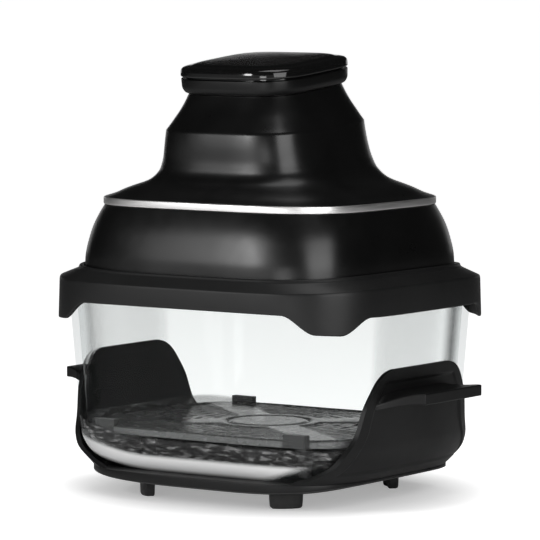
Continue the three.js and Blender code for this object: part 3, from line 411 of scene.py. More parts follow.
class Shader(Nodes):
    """The node tree of a new material."""

    def __init__(self, name):
        self.material = bpy.data.materials.new(name)
        self.material.use_nodes = True
        super().__init__(self.material.node_tree)
        self.tree.nodes.clear()
        self.output = self.node("OutputMaterial")
        self.surface = self.node("BsdfPrincipled")
        self.show(self.surface.outputs[0])
        self.coordinates = self.node("TexCoord").outputs["Object"]

    def show(self, shader):
        self.put(self.output.inputs["Surface"], shader)

    def set(self, **inputs):
        for key, value in inputs.items():
            self.put(self.surface.inputs[key.replace("_", " ")], value)

    def stretched(self, x, y, z):
        return self.node("Mapping", Vector=self.coordinates, Scale=(x, y, z)).outputs[0]

    def noise(self, scale, detail=3.0, roughness=0.55, vector=None):
        at = vector or self.coordinates
        made = self.node("TexNoise", Vector=at, Scale=scale, Detail=detail, Roughness=roughness)
        return made.outputs[0]

    def between(self, factor, low, high):
        """A number that runs from low to high with the factor's middle range."""
        return self.span(factor, *MIDDLE, low, high, soft=False)

    def shades(self, factor, *stops):
        ramp = self.node("ValToRGB", Fac=factor)
        elements = ramp.color_ramp.elements
        while len(elements) < len(stops):
            elements.new(0.5)
        for element, (place, colour) in zip(elements, stops):
            element.position = place
            element.color = (*colour, 1)
        return ramp.outputs["Color"]

    def greys(self, factor, *stops):
        return self.shades(factor, *[(place, grey(shade)) for place, shade in stops])

    def bump(self, height, strength, distance):
        return self.node("Bump", Height=height, Strength=strength, Distance=distance * MM).outputs[0]

    def blend(self, share, first, second):
        """The first shader where the share is 0, the second where it is 1."""
        made = self.node("MixShader")
        for socket, value in zip(made.inputs, (share, first, second)):
            self.put(socket, value)
        return made.outputs[0]


def grey(value, warmth=0.0):
    return value * (1 + warmth), value, value * (1 - warmth)


def plastic(
    name, shade, roughness, grain=1200.0, depth=0.035, spread=0.18, specular=0.5, warmth=-0.01
):
    """Moulded plastic: a fine spark-eroded grain, faint flow marks and uneven gloss."""
    s = Shader(name)
    flow = s.noise(9.0, 4.0)
    speck = s.noise(grain, 2.0)
    low, high = grey(shade * (1 - spread), warmth), grey(shade * (1 + spread), warmth)
    s.set(
        Base_Color=s.shades(flow, (0.3, low), (0.7, high)),
        Roughness=s.between(s.noise(38.0, 5.0), roughness - 0.04, roughness + 0.05),
        Normal=s.bump(speck, 0.35, depth),
        Specular_IOR_Level=specular,
    )
    return s.material


def gloss_panel():
    """Touch panel: polished black plastic with the faintest waviness and a few dust specks."""
    s = Shader("touch_panel_gloss")
    s.set(
        Base_Color=s.greys(s.noise(420.0, 1.0), (0.0, 0.004), (0.72, 0.006), (0.8, 0.012)),
        Roughness=s.between(s.noise(24.0, 4.0), 0.065, 0.095),
        Normal=s.bump(s.noise(16.0, 2.0), 0.05, 0.2),
    )
    return s.material


def satin_metal(name, shade, roughness, warmth, lines, depth):
    """Metal drawn along the part: fine parallel lines and a slow change of shade."""
    s = Shader(name)
    drawn = s.noise(1.0, vector=s.stretched(*lines))
    cloud = s.noise(22.0)
    s.set(
        Base_Color=s.shades(cloud, (0.3, grey(shade * 0.93, warmth)), (0.7, grey(shade, warmth))),
        Metallic=1.0,
        Roughness=s.between(drawn, roughness - 0.05, roughness + 0.07),
        Normal=s.bump(drawn, 0.25, depth),
    )
    return s.material


# Glass: the share of it that mirrors, and how it clears where it is seen edge on
REFLECTING, GLASS_IOR = 0.13, 1.5
EDGE_CLEAR, EDGE_FROM, EDGE_TO = 0.95, 0.34, 0.5
GLASS_TINT = (0.93, 0.936, 0.935)
EDGE_TINT = (0.87, 0.88, 0.88)
SHADOW_TINT = (0.97, 0.98, 0.98)
# Light gathers in the thick rounded foot of the glass; it is painted there as a pale band between these
# heights
BASE_GLOW, BASE_GLOW_LOW, BASE_GLOW_HIGH = 0.95, 29.5, 33.5
BASE_FADE_LOW, BASE_FADE_HIGH = 17.5, 23.5
PAINTED_FOOT_COLOUR = (0.985, 0.987, 0.987)
# It is shaded as if it leaned towards the lamps in front
BASE_LEAN = (1.1, -1.4, 0.9)
# It starts between these shares of the bowl's half width and depth
FOOT_FROM, FOOT_TO = 0.7, 0.8
# The pale band climbs towards -X, and its lower edge sweeps up towards +X
CLIMB, CLIMB_FROM, CLIMB_TO = 10.0, 40.0, 118.0
SWEEP, SWEEP_FROM, SWEEP_TO = 14.0, 48.0, 98.0
# Above the pale band the foot gets a painted reflection of the plate in dark streaks
MIRROR, MIRROR_LOW, MIRROR_HIGH, MIRROR_FADE = 0.34, 32.5, 45.0, 2.0
REFLECTION_STREAKS = (130.0, 130.0, 420.0)


def clear_glass():
    """Pressed borosilicate: almost no colour, a slow waviness and faint wipe marks; a painted pale band
    and painted reflection at the foot.
    """
    s = Shader("bowl_glass")
    s.set(
        Base_Color=s.shades(s.noise(3.0, 2.0), (0.3, (0.965, 0.985, 0.98)), (0.7, (0.985, 0.995, 0.99))),
        Roughness=s.between(s.noise(60.0, 4.0), 0.0, 0.015),
        Normal=s.bump(s.noise(7.0, 2.0), 0.06, 0.6),
        Transmission_Weight=1.0,
        IOR=GLASS_IOR,
    )
    bent = s.node("BsdfRefraction", Color=(*GLASS_TINT, 1), Roughness=0.0, IOR=GLASS_IOR)
    thin = s.node("BsdfTransparent", Color=(*EDGE_TINT, 1))
    clear = s.node("BsdfTransparent", Color=(*SHADOW_TINT, 1))
    facing = s.node("LayerWeight", Blend=0.5).outputs["Facing"]
    edge = s.span(facing, EDGE_FROM, EDGE_TO, end=EDGE_CLEAR, soft=False)
    wall = s.blend(edge, s.blend(REFLECTING, bent.outputs[0], s.surface.outputs[0]), thin.outputs[0])
    wall = s.blend(s.node("LightPath").outputs["Is Shadow Ray"], wall, clear.outputs[0])

    place = s.node("SeparateXYZ", Vector=s.coordinates).outputs
    climb = s.span(s.math("MULTIPLY", place["X"], -1.0), CLIMB_FROM * MM, CLIMB_TO * MM, end=CLIMB * MM)
    height = s.math("SUBTRACT", place["Z"], climb)
    # Painted reflection: dark streaks of the plate, painted into the glass above the pale band
    streak = s.noise(1.0, vector=s.stretched(*REFLECTION_STREAKS))
    dark = s.node(
        "BsdfPrincipled", Roughness=0.2,
        Base_Color=s.greys(streak, (0.35, 0.006), (0.55, 0.05), (0.66, 0.6)),
    )
    above = s.span(height, (MIRROR_LOW - MIRROR_FADE) * MM, MIRROR_LOW * MM, end=MIRROR)
    below = s.span(height, MIRROR_HIGH * MM, (MIRROR_HIGH - MIRROR_FADE) * MM)
    with_painted_reflection = s.blend(s.math("MULTIPLY", above, below), wall, dark.outputs[0])

    # Painted light: a pale diffuse band low on the foot, standing in for light gathered in the glass
    base = s.span(height, BASE_GLOW_LOW * MM, BASE_GLOW_HIGH * MM, BASE_GLOW, 0.0)
    outward = s.math("MAXIMUM", *[
        s.math("DIVIDE", s.math("ABSOLUTE", place[axis]), half * MM)
        for axis, half in (("X", BOWL_X), ("Y", BOWL_Y))
    ])
    sweep = s.span(place["X"], SWEEP_FROM * MM, SWEEP_TO * MM, end=SWEEP * MM)
    fade = s.span(s.math("SUBTRACT", height, sweep), BASE_FADE_LOW * MM, BASE_FADE_HIGH * MM)
    share = s.math("MULTIPLY", s.math("MULTIPLY", base, s.span(outward, FOOT_FROM, FOOT_TO)), fade)
    normal = s.node("NewGeometry").outputs["Normal"]
    lifted = s.vector("NORMALIZE", s.vector("ADD", normal, BASE_LEAN))
    pale = s.node("BsdfDiffuse", Color=(*PAINTED_FOOT_COLOUR, 1), Normal=lifted)
    s.show(s.blend(share, with_painted_reflection, pale.outputs[0]))
    return s.material


def non_stick():
    """Sprayed non-stick coat: dark, with fine mica flecks and an orange-peel skin."""
    s = Shader("non_stick_coat")
    s.set(
        Base_Color=s.greys(s.noise(900.0, 1.0), (0.45, 0.1), (0.66, 0.13), (0.74, 0.26)),
        Roughness=s.between(s.noise(70.0, 4.0), 0.2, 0.32),
        Normal=s.bump(s.noise(260.0), 0.3, 0.06),
        Metallic=0.1,
        Coat_Weight=0.4,
        Coat_Roughness=0.14,
    )
    return s.material


def silicone(name, shade):
    """Soft rubber: dusty, matte and slightly uneven."""
    s = Shader(name)
    s.set(
        Base_Color=s.greys(s.noise(340.0), (0.35, shade * 0.85), (0.7, shade * 1.15)),
        Roughness=s.between(s.noise(90.0, 4.0), 0.52, 0.66),
        Normal=s.bump(s.noise(600.0, 2.0), 0.3, 0.04),
        Sheen_Weight=0.15,
    )
    return s.material


def heater_skin():
    """Oxidised heater tube: brown and blue-grey heat bands."""
    s = Shader("heater_oxide")
    heat = s.noise(26.0, 5.0)
    s.set(
        Base_Color=s.shades(
            heat, (0.3, (0.05, 0.045, 0.045)), (0.5, (0.12, 0.1, 0.09)), (0.7, (0.2, 0.15, 0.12)),
        ),
        Metallic=0.8,
        Roughness=s.between(s.noise(140.0, 4.0), 0.42, 0.62),
        Normal=s.bump(s.noise(900.0), 0.3, 0.05),
    )
    return s.material


def mineral_mat():
    """Pressed mineral fibre, laid along one direction."""
    s = Shader("mineral_mat")
    fibre = s.noise(240.0, 6.0, 0.7, vector=s.stretched(1.0, 3.0, 1.0))
    s.set(
        Base_Color=s.shades(fibre, (0.3, (0.36, 0.32, 0.25)), (0.7, (0.62, 0.57, 0.47))),
        Roughness=0.95,
        Normal=s.bump(fibre, 0.8, 0.5),
    )
    return s.material


def laminate():
    """Circuit board laminate with a faint weave and copper pours under the lacquer."""
    s = Shader("board_laminate")
    pour = s.node(
        "TexVoronoi", {"feature": "DISTANCE_TO_EDGE"}, Vector=s.coordinates, Scale=110.0
    ).outputs["Distance"]
    s.set(
        Base_Color=s.shades(
            pour, (0.0, (0.012, 0.06, 0.028)), (0.05, (0.02, 0.12, 0.05)), (0.4, (0.03, 0.15, 0.07)),
        ),
        Roughness=s.between(s.noise(300.0), 0.3, 0.42),
        Normal=s.bump(pour, 0.2, 0.05),
    )
    return s.material


def copper_winding():
    """Lacquered copper wire, wound side by side."""
    s = Shader("copper_winding")
    turns = s.node(
        "TexWave", {"bands_direction": "X"}, Vector=s.coordinates, Scale=620.0, Distortion=0.4
    ).outputs["Fac"]
    s.set(
        Base_Color=s.shades(turns, (0.1, (0.16, 0.05, 0.02)), (0.9, (0.55, 0.22, 0.09))),
        Metallic=0.85,
        Roughness=s.between(s.noise(200.0, 2.0), 0.3, 0.42),
        Normal=s.bump(turns, 0.7, 0.3),
    )
    return s.material


FINISHES = {
    "head": plastic("head_black", shade=0.0032, roughness=0.31, grain=1500.0, depth=0.02),
    "collar": plastic(
        "collar_black", shade=0.0032, roughness=0.34, grain=1500.0, depth=0.02, specular=0.27
    ),
    "lid": plastic("lid_dark_grey", shade=0.010, roughness=0.44, specular=0.33),
    "cradle": plastic("cradle_dark_grey", shade=0.007, roughness=0.42, specular=0.28),
    "inner": plastic("inner_dark_plastic", shade=0.03, roughness=0.55, depth=0.03),
    "pale": plastic(
        "pale_natural_plastic", shade=0.62, roughness=0.5, grain=900.0, depth=0.03, spread=0.05,
        warmth=0.03,
    ),
    "gloss": gloss_panel(),
    "band": satin_metal(
        "band_satin_silver", shade=0.9, roughness=0.4, warmth=0.01, lines=(40.0, 40.0, 1800.0), depth=0.02
    ),
    "steel": satin_metal(
        "rolled_steel", shade=0.52, roughness=0.34, warmth=0.005, lines=(30.0, 900.0, 30.0), depth=0.03
    ),
    "glass": clear_glass(),
    "plate": non_stick(),
    "bumper": silicone("bumper_silicone", shade=0.03),
    "gasket": silicone("gasket_silicone", shade=0.16),
    "foot": silicone("foot_rubber", shade=0.02),
    "heater": heater_skin(),
    "mat": mineral_mat(),
    "board": laminate(),
    "copper": copper_winding(),
}

NODE_FINISHES = {
    "gasket": ("lid_gasket", "head_gasket"),
    "foot": ("inlet_gland",),
    "board": ("touch_board", "power_board"),
    "mat": ("insulation_mat",),
    "pale": ("thermal_cutout", "relay", "interlock_plunger"),
    "heater": ("heating_element",),
    "inner": ("cooling_fan", "board_carrier", "interlock_switch"),
    "copper": ("transformer",),
    "steel": (
        "air_hood", "heat_shield", "heater_guard", "motor_shaft", "fan_nut", "hot_air_fan", "motor",
        "motor_bracket", "interlock_bracket",
    ),
}


def repaint_nodes():
    for finish, names in NODE_FINISHES.items():
        for name in names:
            paint(frame["nodes"][name], finish)


# Pieces


def glass_bowl():
    turns = [k / FOOT_LEVELS * math.pi / 2 for k in range(FOOT_LEVELS + 1)]
    wall = np.linspace(BOWL_BOTTOM + BOWL_RADIUS + WALL_ENDS[0], BOWL_TOP - WALL_ENDS[1], WALL_LEVELS)

    def at(z, inset, soft=0.0):
        return level(z, *bowl_halves(z, -inset), BOWL_POWER, soft=soft)

    def skin(inset):
        """Levels up one face of the glass: round the foot, then up the straight wall."""
        rise = BOWL_RADIUS - inset
        heights = [BOWL_BOTTOM + inset + rise * (1 - math.cos(a)) for a in turns] + list(wall)
        return [at(z, inset) for z in heights]

    rim = [at(BOWL_TOP, 0, GLASS / 2.2), at(BOWL_TOP, GLASS, GLASS / 2.2)]
    look = ("glass", "bowl_body", "clear_glass", "glass_bowl")
    lofted("bowl_glass", skin(0) + rim + skin(GLASS)[::-1], 60, look, ends="caps")


def tray():
    foot = RAIL_TOP - RAIL_HEIGHT - RAIL_BEAD
    dip_z = mix(TRAY_FLOOR, RAIL_TOP, DIP_SHARE)
    ledge, dip = bowl_halves(RAIL_TOP, LEDGE_GAP), bowl_halves(dip_z + SEAT, LEDGE_GAP)
    power = TRAY_POWER
    up, out_x, out_y = BELLY
    levels = [
        level(TRAY_BOTTOM, PLINTH_X, PLINTH_Y, power),
        level(
            mix(TRAY_BOTTOM, foot, up), mix(PLINTH_X, TRAY_X, out_x), mix(PLINTH_Y, TRAY_Y, out_y),
            power, lift=RAIL_LIFT * up, soft=4,
        ),
        level(foot, TRAY_X - 2 * RAIL_BEAD, TRAY_Y - 2 * RAIL_BEAD, power, lift=RAIL_LIFT, soft=0.6),
        level(foot + RAIL_BEAD, TRAY_X, TRAY_Y, power, lift=RAIL_LIFT, soft=0.6),
        level(RAIL_TOP, TRAY_X, TRAY_Y, power, soft=1.0),
        level(RAIL_TOP, *ledge, BOWL_POWER, soft=0.5),
        level(dip_z, *dip, BOWL_POWER, soft=2),
        level(TRAY_FLOOR, *bowl_halves(BOWL_BOTTOM), BOWL_POWER),
    ]
    lofted("cradle_tray", levels, 32, ("cradle", "cradle_body", "dark_plastic", "cradle"), ends="caps")


def panel_halves(z, depth=0.0):
    offset = PANEL_GAP + PANEL_WALL
    straight = BOWL_Y - TAPER_Y * (BOWL_TOP - z) / (BOWL_TOP - BOWL_BOTTOM) + offset
    fade = smooth(RAIL_TOP, RAIL_TOP + BOWL_RADIUS / 2, z)
    return (
        bowl_halves(z, offset)[0] - depth,
        mix(TRAY_Y, straight, fade) - depth,
        mix(TRAY_POWER, BOWL_POWER, fade),
    )


def side_x(halves, y):
    x, half_y, power = halves
    return x * (1 - abs(y / half_y) ** power) ** (1 / power)


def panel_grid(side, is_inner):
    """Surface points of a side panel; on its outer face the field inside the border is sunk."""
    foot = RAIL_TOP - RAIL_BEAD
    grid = np.zeros((PANEL_ROWS + 1, PANEL_COLUMNS + 1, 3))
    for r in range(PANEL_ROWS + 1):
        up = (1 - math.cos(math.pi * r / PANEL_ROWS)) / 2
        z = mix(foot, PANEL_TOP, up)
        half = PANEL_FOOT * curve(PANEL_SHARES, up)
        halves = panel_halves(z, PANEL_WALL if is_inner else 0)
        from_top = (PANEL_TOP - z) * BORDER_TOP_SHARE
        from_foot = (z - foot) * BORDER_FOOT_SHARE - BORDER_FOOT_LIFT
        for c in range(PANEL_COLUMNS + 1):
            y = half * math.sin((2 * c / PANEL_COLUMNS - 1) * math.pi / 2)
            x = side_x(halves, y)
            if not is_inner:
                inside = min(half - abs(y), from_top, from_foot)
                x -= BORDER_DEPTH * smooth(BORDER, BORDER + BORDER_EDGE, inside)
            grid[r, c] = (side * x, y, z)
    return grid


def both_sides(kind, grid, rounding, angle):
    """A left and a right slab of the cradle between two grids of surface points."""
    for side, name in ((-1, "left"), (1, "right")):
        outer, inner = grid(side, False), grid(side, True)
        points, faces = slab_mesh(outer, inner) if side > 0 else slab_mesh(inner, outer)
        piece = bevel(make_mesh(f"{kind}_{name}", points, faces, sharp=angle), rounding, angle)
        dress(piece, "cradle", "cradle_body", "dark_plastic")


def grip_grid(side, is_top):
    """Surface points of a grip, which is thinner and lower where its ends meet the panel."""
    grid = np.zeros((GRIP_ROWS + 1, GRIP_COLUMNS + 1, 3))
    for r in range(GRIP_ROWS + 1):
        out = r / GRIP_ROWS
        half = mix(GRIP_ROOT, GRIP_OUTER, math.sqrt(out))
        for c in range(GRIP_COLUMNS + 1):
            t = 2 * c / GRIP_COLUMNS - 1
            end = abs(t) ** GRIP_POWER
            fall = GRIP_DROOP * (1 - out) ** 2 * end
            thick = GRIP_THICK * mix(1 - end * (1 - GRIP_THIN), 1, math.sqrt(out))
            root = side_x(panel_halves(GRIP_TOP - fall, PANEL_WALL / 2), t * half)
            z = GRIP_TOP - fall - (0 if is_top else thick)
            grid[r, c] = (side * mix(root, GRIP_REACH, out), t * half, z)
    return grid


def feet():
    """Rubber feet, bent a little round the corners of the tray."""
    for name, sx, sy in CORNERS:
        rings = []
        turn = math.atan2(sy, sx) - math.pi / 2
        for up, size in FOOT_SHARES:
            for side in (-1, 1):
                for k in range(FOOT_STEPS + 1):
                    t = -side * (2 * k / FOOT_STEPS - 1)
                    px = t * size * FOOT_LENGTH / 2
                    py = side * size * FOOT_WIDTH / 2 * (1 - t**FOOT_POWER * FOOT_TAPER)
                    py += FOOT_BEND * (0.5 - t * t)
                    rings.append((
                        sx * FOOT_X + px * math.cos(turn) - py * math.sin(turn),
                        sy * FOOT_Y + px * math.sin(turn) + py * math.cos(turn),
                        up * FOOT_HEIGHT,
                    ))
        faces = tube_faces(len(FOOT_SHARES), 2 * (FOOT_STEPS + 1))
        piece = bevel(make_mesh(f"rubber_foot_{name}", rings, faces, sharp=40), 0.4, 50)
        dress(piece, "foot", "cradle_body", "feet", f"foot_{name}")


def lid_ring():
    under = LEDGE_Z - WEB
    nest_x, nest_y = DOME_X + NEST_GAP, DOME_Y + NEST_GAP
    lip_x, lip_y = nest_x + LIP_WALL, nest_y + LIP_WALL
    inner_x, inner_y = (half - GLASS for half in bowl_halves(under, -GLASS))
    edge = LID_WALL / 3

    def at(z, x, y, lift=0.0, tab=0.0, soft=0.0):
        return level(z, x, y, BOWL_POWER, lift=lift, tab=tab, soft=soft)

    levels = [
        at(LID_BOTTOM, LID_X, LID_Y, -LID_SIDE_DROP, TAB_DROP, 0.6),
        at(SHOULDER_Z - edge / 2, LID_X - edge, LID_Y - edge, SHOULDER_LIFT, soft=1.2),
        at(LIP_FOOT, lip_x + edge, lip_y + edge, LIP_FOOT_LIFT, soft=1.2),
        at(LIP_TOP, lip_x, lip_y, LIP_LIFT, soft=0.8),
        at(LIP_TOP, nest_x, nest_y, LIP_LIFT, soft=0.6),
        at(LEDGE_Z, nest_x, nest_y),
        at(LEDGE_Z, WEB_X, WEB_Y, soft=0.8),
        at(under, WEB_X, WEB_Y, soft=0.8),
        at(under, inner_x - LID_WALL, inner_y - LID_WALL, soft=0.8),
        at(under - LOCATOR, inner_x - LID_WALL, inner_y - LID_WALL, soft=0.7),
        at(under - LOCATOR, inner_x, inner_y, soft=0.7),
        at(under, inner_x, inner_y, soft=0.8),
        at(under, LID_X - LID_WALL - 2 * edge, LID_Y - LID_WALL - 2 * edge, soft=1.0),
        at(LID_BOTTOM, LID_X - LID_WALL, LID_Y - LID_WALL, -LID_SIDE_DROP, TAB_DROP, 0.6),
    ]
    lofted("adapter_ring", levels, 45, ("lid", "lid_body", "dark_plastic", "lid_ring"), count=LID_AROUND)


def dome_level(up, depth=0.0, soft=0.0):
    gone = curve(DOME_SHARES, up)
    return level(
        mix(DOME_BOTTOM, DOME_TOP, up), mix(DOME_X, DOME_TOP_X, gone) - depth,
        mix(DOME_Y, DOME_TOP_Y, gone) - depth, mix(BOWL_POWER, HEAD_POWER, gone), soft=soft,
    )


def lower_housing():
    ends = (0, DOME_LEVELS)
    outer = [dome_level(k / DOME_LEVELS, soft=0.5 if k in ends else 0) for k in range(DOME_LEVELS + 1)]
    inner = [dome_level(up, DOME_WALL) for up in np.linspace(DOME_INNER_TOP, 0, DOME_INNER_LEVELS)]
    lip = 3 * DOME_WALL
    levels = [
        *outer,
        level(DOME_TOP, DOME_TOP_X - lip, DOME_TOP_Y - lip),
        level(DOME_TOP - DOME_WALL, DOME_TOP_X - lip, DOME_TOP_Y - lip),
        *inner,
    ]
    lofted("dome_shell", levels, 40, ("head", "head_body", "head_plastic", "lower_housing"))


def trim_band():
    x, y = DOME_TOP_X + BAND_PROUD, DOME_TOP_Y + BAND_PROUD
    levels = [
        level(BAND_BOTTOM, x, y, soft=0.7),
        level(BAND_TOP, x, y, soft=0.7),
        level(BAND_TOP, x - BAND_WALL, y - BAND_WALL, soft=0.3),
        level(BAND_BOTTOM, x - BAND_WALL, y - BAND_WALL, soft=0.3),
    ]
    lofted("silver_band", levels, 50, ("band", "head_body", "bright_trim", "trim_band"))


def lean_at(z):
    """Where the neck's middle is along Y at a height, and the angle by which its level is tipped."""
    return -LEAN * smooth(NECK_FOOT, CREASE_Z, z), TILT * smooth(NECK_FOOT, NECK_TOP, z)


def flare_level(up, depth=0.0, soft=0.0):
    z = mix(NECK_FOOT, CREASE_Z, up)
    gone = curve(FLARE_SHARES, up)
    return level(
        z, mix(DOME_TOP_X, CREASE, gone) - depth, mix(DOME_TOP_Y, CREASE, gone) - depth,
        lean=lean_at(z), soft=soft,
    )


def cone_level(up, depth=0.0, soft=0.0):
    z = mix(CREASE_Z, NECK_TOP - depth, up)
    return level(z, mix(CREASE, NECK_TOP_HALF, curve(CONE_SHARES, up)) - depth, lean=lean_at(z), soft=soft)


def slot_outline(half_width, half_length, count):
    """Points round a slot with round ends, its length along the second axis."""
    made = []
    for part in range(count):
        turn = part / count * 2 * math.pi
        end = (half_length - half_width) * (1 if math.sin(turn) > 0 else -1)
        made.append((half_width * math.cos(turn), half_width * math.sin(turn) + end))
    return made


def vent_cutter():
    """Slots through the rear of the neck, as one mesh to cut with."""
    shape = slot_outline(VENT_WIDTH / 2, (VENT_HIGH - VENT_LOW) / 2, VENT_SIDES)
    middle = (VENT_LOW + VENT_HIGH) / 2
    points, faces = [], []
    for k in range(VENT_COUNT):
        x = (k - (VENT_COUNT - 1) / 2) * VENT_PITCH
        faces += tube_faces(2, VENT_SIDES, start=len(points))
        points += [(x + u, y, middle + v) for y in (CREASE / 2, 3 * CREASE / 2) for u, v in shape]
    return points, faces


def cut_with(obj, name, points, faces):
    """Cuts a mesh out of an object for good."""
    tool = make_mesh(name, points, faces)
    modifier = obj.modifiers.new("cut", "BOOLEAN")
    modifier.object = tool
    modifier.operation = "DIFFERENCE"
    modifier.solver = "EXACT"
    view = bpy.context.evaluated_depsgraph_get()
    made = bpy.data.meshes.new_from_object(obj.evaluated_get(view))
    obj.modifiers.clear()
    obj.data = made
    crisp(made, CUT_SHARP)
    bpy.data.objects.remove(tool)


def upper_housing():
    inset = BAND_WALL + SEAT - BAND_PROUD
    x, y = DOME_TOP_X - inset, DOME_TOP_Y - inset
    mouth = NECK_TOP_HALF - 2 * NECK_WALL
    flare = [flare_level(up, soft=0.4 if up == 0 else 0) for up in np.linspace(0, 1, FLARE_LEVELS)]
    points, faces = loft_mesh([
        level(BAND_BOTTOM, x, y),
        level(NECK_FOOT, x, y),
        *flare,
        *[cone_level(up) for up in np.linspace(0, 1, CONE_LEVELS)[1:]],
        level(NECK_TOP, mouth, lean=lean_at(NECK_TOP)),
        level(NECK_TOP - NECK_WALL, mouth, lean=lean_at(NECK_TOP)),
        *[cone_level(up, NECK_WALL) for up in np.linspace(1, CONE_INNER_FROM, CONE_INNER_LEVELS)],
        *[flare_level(up, NECK_WALL) for up in np.linspace(1, FLARE_INNER_FROM, FLARE_INNER_LEVELS)],
        level(NECK_FOOT - NECK_WALL / 2, x - NECK_WALL, y - NECK_WALL),
        level(BAND_BOTTOM, x - NECK_WALL, y - NECK_WALL),
    ])
    shell = make_mesh("neck_shell", points, faces, sharp=30)
    cut_with(shell, "vent_tool", *vent_cutter())
    dress(shell, "head", "head_body", "head_plastic", "upper_housing")


def top_level(z, half, soft=0.0):
    """A level above the neck: the collar and the panel stand square to the tipped neck."""
    lean, tilt = lean_at(NECK_TOP)
    return level(z, half, lean=(lean - (z - NECK_TOP) * math.tan(tilt), tilt), soft=soft)


def rim_collar():
    bend = (COLLAR_TOP - COLLAR_BOTTOM) / 4
    bore = COLLAR - COLLAR_WALL
    ledge = COVER_BOTTOM - SPIGOT - SEAT
    mouth = NECK_TOP_HALF - 2 * NECK_WALL
    levels = [
        top_level(COLLAR_BOTTOM, NECK_TOP_HALF),
        top_level(COLLAR_BOTTOM + bend / 3, COLLAR - 0.7 * bend, soft=1.2),
        top_level(COLLAR_BOTTOM + 1.5 * bend, COLLAR - bend / 8, soft=1.4),
        top_level(COLLAR_TOP, COLLAR, soft=0.7),
        top_level(COLLAR_TOP, bore, soft=0.4),
        top_level(ledge, bore),
        top_level(ledge, bore - bend),
        top_level(COLLAR_BOTTOM + NECK_WALL, mouth),
        top_level(COLLAR_BOTTOM, mouth),
    ]
    lofted("rim_shell", levels, 40, ("collar", "head_body", "head_plastic", "rim_collar"))


def touch_panel():
    edge = (COVER_TOP - COVER_BOTTOM) / 5
    spigot = COLLAR - COLLAR_WALL - SEAT
    low, ceiling, lens = COVER_BOTTOM - SPIGOT, COVER_TOP - COVER_WALL, COVER_TOP + LENS_RISE
    levels = [
        top_level(ceiling, spigot - COVER_WALL),
        top_level(low, spigot - COVER_WALL),
        top_level(low, spigot),
        top_level(COVER_BOTTOM, spigot),
        top_level(COVER_BOTTOM, COVER - edge / 3, soft=0.5),
        top_level(COVER_BOTTOM + edge / 2, COVER, soft=0.9),
        top_level(COVER_TOP - 1.8 * edge, COVER - 0.1, soft=1.6),
        top_level(COVER_TOP - edge / 2, COVER - edge, soft=1.4),
        top_level(COVER_TOP, COVER - 2.6 * edge, soft=1.4),
        top_level(COVER_TOP + LENS_RISE / 5, LENS_HALF + edge, soft=0.9),
        top_level(COVER_TOP + LENS_RISE * 0.85, LENS_HALF - edge / 2, soft=0.9),
        top_level(lens, LENS_HALF - 2 * edge, soft=1.2),
        top_level(lens + LENS_CROWN * 0.7, LENS_HALF * 0.6),
        top_level(lens + LENS_CROWN, LENS_HALF * 0.25),
    ]
    look = ("gloss", "head_body", "touch_panel", "touch_panel_cover")
    lofted("panel_cover", levels, 50, look, ends="caps", steps=6)


def from_spoke(x, y):
    """Distance to the middle line of the nearest spoke."""
    slope = LEG_Y / LEG_X
    return min(abs(y - slope * x), abs(y + slope * x)) / math.hypot(1, slope)


def from_rim(x, y, half_x, half_y):
    share = (abs(x / half_x) ** BOWL_POWER + abs(y / half_y) ** BOWL_POWER) ** (1 / BOWL_POWER)
    return (1 - share) * min(half_x, half_y)


def plate_height(x, y, half_x, half_y):
    """Height of the plate's skin over its plain level."""
    radius = math.hypot(x, y)
    groove = -GROOVE_DEPTH * math.exp(-(((radius - GROOVE_RADIUS) / GROOVE_WIDTH) ** 2) * 2)
    edge = from_rim(x, y, half_x, half_y)
    inside = min(
        from_spoke(x, y) - SPOKE_HALF, radius - GROOVE_RADIUS - FIELD_FROM_GROOVE, edge - FIELD_FROM_RIM,
    )
    field = smooth(0, FIELD_EDGE, inside)
    rib = 0.5 + 0.5 * math.cos(radius * 2 * math.pi / RIB_PITCH)
    drop = RIM_DROP * smooth(RIM_FROM, RIM_TO, edge)
    return groove + field * (RIB_HEIGHT * rib - FIELD_SINK) - drop


def crisper_plate():
    wall_x, wall_y = bowl_halves(PLATE_TOP, -GLASS - PLATE_GAP)
    points = []
    for k in range(1, PLATE_RINGS + 1):
        share = k / PLATE_RINGS
        power = mix(2, BOWL_POWER, smooth(*ROUND_SHARES, share))
        flat = outline(wall_x * share, wall_y * share, power, PLATE_AROUND)
        points += [(x, y, PLATE_TOP + plate_height(x, y, wall_x, wall_y)) for x, y in flat]
    skirt = outline(wall_x, wall_y, BOWL_POWER, PLATE_AROUND)
    for drop, inset in SKIRT_LEVELS:
        kept_x, kept_y = 1 - inset / wall_x, 1 - inset / wall_y
        points += [(x * kept_x, y * kept_y, PLATE_TOP - drop) for x, y in skirt]
    top, low = len(points), len(points) + 1
    last = top - PLATE_AROUND
    faces = tube_faces(top // PLATE_AROUND, PLATE_AROUND, "open", flip=True)
    points += [(0, 0, PLATE_TOP), (0, 0, PLATE_TOP - PLATE_THICK - PLATE_UNDER)]
    for i in range(PLATE_AROUND):
        j = (i + 1) % PLATE_AROUND
        faces += [(top, i, j), (low, last + j, last + i)]
    plate = make_mesh("plate_skin", points, faces, sharp=60)
    cut_with(plate, "slot_tool", *slot_cutter(wall_x, wall_y))
    dress(plate, "plate", "plate_body", "non_stick", "crisper_plate")
    foot = BOWL_BOTTOM + GLASS + SEAT
    for name, sx, sy in CORNERS:
        points, faces = loft_mesh([
            level(foot, LEG_RADIUS, power=2, soft=1.5),
            level(foot + LEG_END, LEG_RADIUS, power=2, soft=1),
            level(PLATE_TOP - PLATE_THICK - LEG_END, LEG_TOP, power=2),
        ], "caps", LEG_AROUND)
        leg = make_mesh(f"plate_leg_{name}", points + [sx * LEG_X, sy * LEG_Y, 0], faces)
        dress(leg, "plate", "plate_body", "non_stick")


